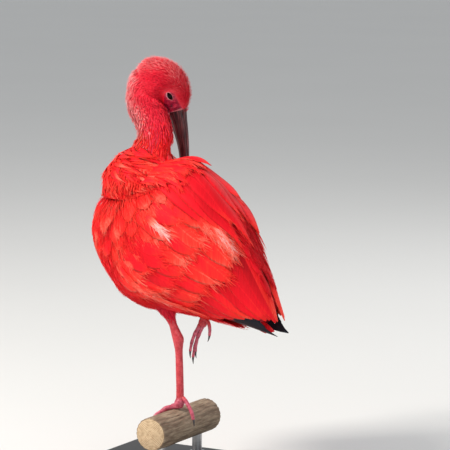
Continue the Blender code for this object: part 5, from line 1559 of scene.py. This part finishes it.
# Masks of the skin's regions, worked out from where each point lies.
def markSkin(piece):
    mesh = piece.data
    flat = np.empty(len(mesh.vertices) * 3)
    mesh.vertices.foreach_get("co", flat)
    points = flat.reshape(-1, 3) / mm - (0, 0, footLevel)
    x, y, z = points.T
    leg = (z < 116).astype(float)
    toe = ease(-z, -12, -6) * (x < 40) * (z < 12)
    tucked = (x > 8) & (y > 2) & (z < 100) & (z > 30)
    toe = np.maximum(toe, tucked * ease(-z, -99, -94))
    bare = outsideBare(points)
    forward, up, side = headCoordinates(points)
    onHead = (insideHead(points, 2.5) < 1.06) & (z > 330)
    tilt = math.radians(eyes["tilt"])
    ahead, above = forward - eyes["place"][0], up - eyes["place"][1]
    a = ahead * math.cos(tilt) + above * math.sin(tilt)
    b = above * math.cos(tilt) - ahead * math.sin(tilt)
    away = np.hypot(a / (eyes["opening"][0] + 0.4), b / (eyes["opening"][1] + 0.4))
    behind = 0.35 + 0.65 * ease(0.4 * above - ahead, -2.5, 2.5)
    lid = onHead * (1 - ease(away, 1.0, 1.12)) * (np.abs(side) > 9) * behind
    rim = up - 0.38 * forward - 0.3 * np.abs(side)
    lid = np.maximum(lid, onHead * (bare < 1) * (1 - ease(rim, 0.6, 1.8)) * 0.55)
    coatMask = (1 - leg) * np.where(onHead, ease(bare, -0.5, 1.5), 1.0)
    for key, values in (("leg", leg), ("toe", toe), ("coat", coatMask), ("lid", lid)):
        mesh.attributes.new(key, "FLOAT", "POINT").data.foreach_set("value", values.astype(np.float32))
    mesh.polygons.foreach_set("use_smooth", np.ones(len(mesh.polygons), bool))
    mesh.materials.clear()
    mesh.materials.append(skinMaterial())


fleshNodes = ["torso", "neck_lower", "neck_upper", "head", "thigh_left", "shin_left", "tarsus_left",
              "foot_left", "hallux_left", "tarsus_right", "hallux_right"]
fleshNodes += ["toe_%s_%s" % (leg, toe) for leg in ("left", "right") for toe in ("middle", "outer", "inner")]
skin = makeSkin()
markSkin(skin)
settled(skin, "leg", *fleshNodes)
print("scene: skin", len(skin.data.vertices))

bill = {
    "length": 134.0,
    "start": 9.5,
    "turn": 45.0,  # degrees by which its heading changes, growing with the square of the share
    "depths": ((0, 23.0), (0.12, 18.6), (0.26, 15.6), (0.42, 12.2), (0.7, 8.6), (0.92, 6.0), (1.0, 4.2)),
    "widths": ((0, 16.5), (0.12, 13.5), (0.26, 11.6), (0.42, 9.8), (0.7, 7.6), (0.92, 5.8), (1.0, 4.4)),
    "upper": 0.58,
    "chin": 3.2,  # how much deeper the lower half is at its base
    "nostril": (0.035, 0.1, 40.0),  # from and to along the bill, degrees round from the mouth line
    "groove": 46.0,  # degrees round from the mouth line
}


# Half of the bill over or under the mouth line: an arc of width times cosine and depth times sine, with a
# groove that runs from the nostril towards the tip on both sides of the ridge. Its end closes roundly.
def billRings(upper):
    fine = steps(300)
    heading = np.radians(bill["start"] - bill["turn"] * fine ** 2)
    step = bill["length"] / 299
    forward = np.concatenate(([0], np.cumsum(np.sin(heading[:-1]) * step)))
    up = -np.concatenate(([0], np.cumsum(np.cos(heading[:-1]) * step)))
    share = np.sin(steps(170) * math.pi / 2) ** 1.05
    forward, up, heading = (np.interp(share, fine, values)[:, None] for values in (forward, up, heading))
    share = share[:, None]
    close = np.sqrt(np.clip(1 - ((share - 0.985) / 0.015).clip(0, 1) ** 2, 0.0009, 1))
    depth, width = (np.interp(share, *np.array(bill[key]).T) for key in ("depths", "widths"))
    depth, width = depth * close, width / 2 * close * (1.0 if upper else 0.93)
    arc = np.linspace(0, math.pi, 61)[None]
    fromEdge = np.minimum(arc, math.pi - arc)
    run = ease(share, 0.01, 0.05) * (1 - ease(share, 0.7, 0.95))
    deep, at, wide = (0.1, math.radians(bill["groove"]), 0.1) if upper else (0.05, 0.8, 0.14)
    groove = deep * np.exp(-((fromEdge - at) / wide) ** 2) * run
    low, high, at = bill["nostril"]
    slit = 0.2 * np.exp(-((fromEdge - math.radians(at)) / 0.09) ** 2) * ease(share, low, low + 0.02)
    slit = slit * (1 - ease(share, high - 0.03, high)) * (1 if upper else 0)
    rise = depth * (bill["upper"] if upper else bill["upper"] - 1)
    if not upper:
        rise = rise - bill["chin"] * (1 - ease(share, 0.0, 0.4))
    radial = 1 - groove - slit
    tall = rise * np.sin(arc) ** 0.9 * radial + depth * (0.5 - bill["upper"]) + (0.15 if upper else -0.15)
    aside = width * np.cos(arc) * np.where(np.sin(arc) > 0.02, radial, 1)
    ahead = forward + np.cos(heading) * tall
    above = up + np.sin(heading) * tall + 6.0 * (1 - share) ** 2
    coordinates = np.stack([fromEdge + 0 * share, share + 0 * arc, slit * 5], axis=-1)
    return headPlace(ahead, above, aside), coordinates.reshape(-1, 3)


# Dark horn with paler streaks along it and a paler root.
def billMaterial():
    made, tree, shader = surfaceOf("bill_horn", 0.38, Specular_IOR_Level=0.5)
    coordinates = attribute(tree, "horn", "Vector")
    _, share, nostril = split(tree, coordinates)
    streak = noise(tree, coordinates, (9.0, 5.0, 0.0), roughness=0.6)
    fine = noise(tree, coordinates, (32.0, 10.0, 0.0))
    grain = mixed(tree, streak, 0.7, fine, 0.35)
    grain = maths(tree, "MULTIPLY_ADD", fading(tree, share, 34.0), 0.5, grain)
    colour = ramp(tree, grain, ((0.4, (0.008, 0.002, 0.004)), (0.5, (0.035, 0.008, 0.012)),
                                (0.6, (0.15, 0.04, 0.045)), (0.74, (0.46, 0.19, 0.18))))
    slit = maths(tree, "MULTIPLY", nostril, 2.0, clamp=True)
    dressed(tree, shader, blended(tree, slit, colour, (0.01, 0.004, 0.004, 1)), grain, 0.3, 0.6)
    return made


horn = billMaterial()
for name, upper in (("bill_upper", True), ("bill_lower", False)):
    rings, coordinates = billRings(upper)
    settled(tube(name + "_horn", rings, horn, {"horn": coordinates}), "bill", name)


# Pupil, iris and rim as rings of the angle from the eye's axis.
def eyeMaterial():
    made, tree, shader = surfaceOf("eye_ball", 0.08, Coat_Weight=0.1, Coat_Roughness=0.02,
                                   Specular_IOR_Level=0.05)
    dressed(tree, shader, ramp(tree, attribute(tree, "polar"), (
        (0.0, (0.002, 0.002, 0.002)), (0.17, (0.002, 0.002, 0.002)), (0.19, (0.03, 0.008, 0.004)),
        (0.3, (0.02, 0.005, 0.003)), (0.34, (0.004, 0.002, 0.002)))))
    return made


eyeGloss = eyeMaterial()
for name, side in (("eye_right", 1.0), ("eye_left", -1.0)):
    settled(eyeBall(name + "_ball", side, eyes["radius"] - 0.02, eyeGloss), "eye", name)
clawHorn = grainMaterial("claw_horn", 0.3, (300, 300, 120), 3.0, (
    (0.35, (0.012, 0.012, 0.018)), (0.7, (0.06, 0.05, 0.055))), 0.1, 0.5)
for name, rings in clawParts:
    settled(tube(name + "_horn", rings, clawHorn), "claw", name)
print("scene: bill, eyes, claws")


# A cut length of branch: rings along Y whose radius dips in lengthwise cracks and swells at two knots, and
# whose ends are sawn flat with a rounded rim.
def branchRings():
    along = np.linspace(-1, 1, 260)[:, None]
    turn = turns(200)[None, :]
    y = along * branch["length"] / 2
    wander = 0.35 * np.sin(y / 17) + 0.2 * np.sin(y / 7.3 + 1)
    crack = np.abs(np.sin(turn * 11 + wander + 0.5 * np.sin(y / 9 + turn * 3)))
    fine = np.abs(np.sin(turn * 29 + 2 * wander + y / 14))
    dip = branch["relief"] * (0.65 * (1 - crack) ** 2 + 0.35 * (1 - fine) ** 3)
    knot = 0.0
    for place, angle in ((-38.0, 2.4), (29.0, 4.3)):
        apart = np.hypot((y - place) / 9, np.angle(np.exp(1j * (turn - angle))) * 2.1)
        knot = knot + 1.2 * np.exp(-apart ** 2 * 1.2) - 1.6 * np.exp(-apart ** 2 * 9)
    rim = 1.3 * ease(np.abs(along), 0.985, 1.0)
    radius = branch["radius"] - 0.1 - dip - rim + np.minimum(knot, 0.4)
    x, z = branch["axis"]
    return np.stack([x + radius * np.sin(turn), y + 0 * turn, z + radius * np.cos(turn)], axis=-1)


# Bark by two noises; the sawn ends are paler wood with growth rings round the branch's axis.
def barkMaterial():
    made, tree, shader = surfaceOf("bark", 0.85)
    place = objectPlace(tree)
    lengthwise = noise(tree, place, (260, 38, 260), detail=5.0, roughness=0.65)
    patches = noise(tree, place, (45, 30, 45))
    bark = ramp(tree, mixed(tree, lengthwise, 0.7, patches, 0.4), (
        (0.3, (0.05, 0.03, 0.018)), (0.5, (0.19, 0.13, 0.085)), (0.64, (0.33, 0.25, 0.17)),
        (0.8, (0.46, 0.4, 0.31))))
    axis = (-branch["axis"][0] * mm, 0, -(branch["axis"][1] + footLevel) * mm)
    x, y, z = split(tree, add(tree, "Mapping", {"Vector": place, "Location": axis}).outputs[0])
    away = maths(tree, "SQRT", maths(tree, "MULTIPLY_ADD", x, x, maths(tree, "MULTIPLY", z, z)))
    wobble = maths(tree, "MULTIPLY_ADD", patches, 0.003, away)
    growth = maths(tree, "SINE", maths(tree, "MULTIPLY", wobble, 3400.0))
    growth = maths(tree, "MULTIPLY_ADD", growth, 0.22, lengthwise)
    wood = ramp(tree, growth, ((0.2, (0.3, 0.19, 0.1)), (0.7, (0.62, 0.46, 0.29))))
    ends = maths(tree, "GREATER_THAN", maths(tree, "ABSOLUTE", y), branch["length"] * mm / 2 - 0.0002)
    dressed(tree, shader, blended(tree, ends, bark, wood), lengthwise, 0.6, 0.7)
    return made


settled(tube("perch_branch", branchRings(), barkMaterial()), "bark", "perch")

stand = {"size": (220.0, 150.0, 10.0), "edge": 2.5, "corner": 6.0, "rodRadius": 6.0, "rodSpread": 42.0}


# A plate with rounded corners: its outline is a rectangle with quarter circles, and its edge rounds over by
# another quarter circle towards the top.
def baseRings():
    corner = stand["corner"]
    wide, deep = stand["size"][0] / 2 - corner, stand["size"][1] / 2 - corner
    quarter = np.linspace(0, math.pi / 2, 9)
    corners = []
    for k, (sx, sy) in enumerate(((1, 1), (-1, 1), (-1, -1), (1, -1))):
        angle = quarter + k * math.pi / 2
        corners.append([sx * wide + 0 * angle, sy * deep + 0 * angle, np.cos(angle), np.sin(angle)])
    rows = np.concatenate(corners, axis=1).T
    bevel = np.linspace(0, math.pi / 2, 7)
    heights = np.concatenate(([0.0, 0.6], stand["size"][2] - stand["edge"] * (1 - np.sin(bevel))))
    reach = corner - np.concatenate(([0.6, 0.0], stand["edge"] * (1 - np.cos(bevel))))
    spot = rows[None, :, :2] + rows[None, :, 2:] * reach[:, None, None]
    level = np.broadcast_to(heights[:, None, None] - footLevel, spot[..., :1].shape)
    return np.concatenate([spot, level], axis=-1)


# A round rod with a flange at its foot, up into the branch.
def rodRings(side):
    low = -footLevel + stand["size"][2] + 0.1
    high = branch["axis"][1] - branch["radius"] * 0.6
    level = np.array([low, low, low + 3, low + 3.6, high - 1, high])
    radius = stand["rodRadius"] + np.array([3.0, 3.4, 3.4, 0, 0, 0])
    turn = turns(48)
    return np.stack([branch["axis"][0] + radius[:, None] * np.cos(turn),
                     side * stand["rodSpread"] + radius[:, None] * np.sin(turn),
                     level[:, None] + 0 * turn], axis=-1)


paint = grainMaterial("stand_paint", 0.5, (900, 900, 900), 2.0, (
    (0.35, (0.018, 0.018, 0.019)), (0.7, (0.04, 0.04, 0.042))), 0.12, 0.5)
steel = grainMaterial("stand_steel", 0.3, (60, 60, 2600), 2.0, (
    (0.3, (0.36, 0.36, 0.37)), (0.7, (0.58, 0.58, 0.59))), 0.05, 0.4, Metallic=1.0)
for name, rings, material, slot, node in (
        ("stand_plate", baseRings(), paint, "stand_paint", "stand_base"),
        ("stand_rod_front_steel", rodRings(-1.0), steel, "stand_steel", "stand_rod_front"),
        ("stand_rod_back_steel", rodRings(1.0), steel, "stand_steel", "stand_rod_back")):
    piece = settled(tube(name, rings, material), slot, node)
    piece.data.set_sharp_from_angle(angle=math.radians(35))
print("scene: perch and stand")

view = {
    "azimuth": 30.0,
    "elevation": 8.0,
    "target": (51.6, 216.0),  # mm to the right and up from the foot, on the picture plane
    "distance": 3.0,
    "lens": 200.0,
}


# A long lens at the photo's height and side, square to its picture plane.
def makeCamera():
    azimuth, elevation = math.radians(view["azimuth"]), math.radians(view["elevation"])
    right = np.array((math.cos(azimuth), math.sin(azimuth), 0))
    back = np.array((math.sin(azimuth) * math.cos(elevation), -math.cos(azimuth) * math.cos(elevation),
                     math.sin(elevation)))
    up = np.cross(back, right)
    target = (right * view["target"][0] + up * view["target"][1] + (0, 0, footLevel)) * mm
    data = bpy.data.cameras.new("camera")
    data.lens = view["lens"]
    data.clip_start = 0.05
    camera = bpy.data.objects.new("camera", data)
    bpy.context.scene.collection.objects.link(camera)
    camera.location = target + back * view["distance"]
    camera.rotation_euler = (math.pi / 2 - elevation, 0, azimuth)
    bpy.context.scene.camera = camera


studio = {
    "floor": 12.0,  # half its side in metres
    "sky": ((0.82, 0.84, 0.86, 1), 0.64),
    "aim": (0, 0, 0.32),
    # place, watts, size, colour
    "lights": {
        "key": ((-1.2, -1.6, 2.2), 86, 0.8, (1.0, 0.95, 0.88)),
        "fill": ((1.8, -1.4, 0.9), 9, 1.4, (0.92, 0.96, 1.0)),
        "rim": ((0.6, 1.8, 1.6), 14, 1.0, (1.0, 1.0, 1.0)),
    },
}


# An area light turned to the studio's aim.
def makeLight(name, place, power, size, colour):
    data = bpy.data.lights.new(name, "AREA")
    data.energy = power
    data.size = size
    data.color = colour
    lamp = bpy.data.objects.new(name, data)
    bpy.context.scene.collection.objects.link(lamp)
    lamp.location = place
    x, y, z = np.array(studio["aim"], float) - np.array(place, float)
    lamp.rotation_euler = (math.pi / 2 - math.atan2(-z, math.hypot(x, y)), 0, math.atan2(y, x) - math.pi / 2)


# Pale floor, even sky and three lamps.
def makeStudio():
    reach = studio["floor"]
    floor = bpy.data.meshes.new("floor")
    floor.from_pydata([(-reach, -reach, 0), (reach, -reach, 0), (reach, reach, 0), (-reach, reach, 0)], [],
                      [(0, 1, 2, 3)])
    made, tree, shader = surfaceOf("floor_pale", 0.8)
    cloud = noise(tree, objectPlace(tree), (2, 2, 2))
    dressed(tree, shader, ramp(tree, cloud, ((0.3, (0.7, 0.7, 0.69)), (0.7, (0.71, 0.71, 0.7)))))
    floor.materials.append(made)
    ground = bpy.data.objects.new("floor", floor)
    bpy.context.scene.collection.objects.link(ground)
    world = bpy.data.worlds.new("studio")
    world.use_nodes = True
    for socket, value in zip(world.node_tree.nodes["Background"].inputs, studio["sky"]):
        socket.default_value = value
    bpy.context.scene.world = world
    bpy.context.scene.view_settings.view_transform = "Standard"
    for name, settings in studio["lights"].items():
        makeLight(name, *settings)


makeCamera()
makeStudio()
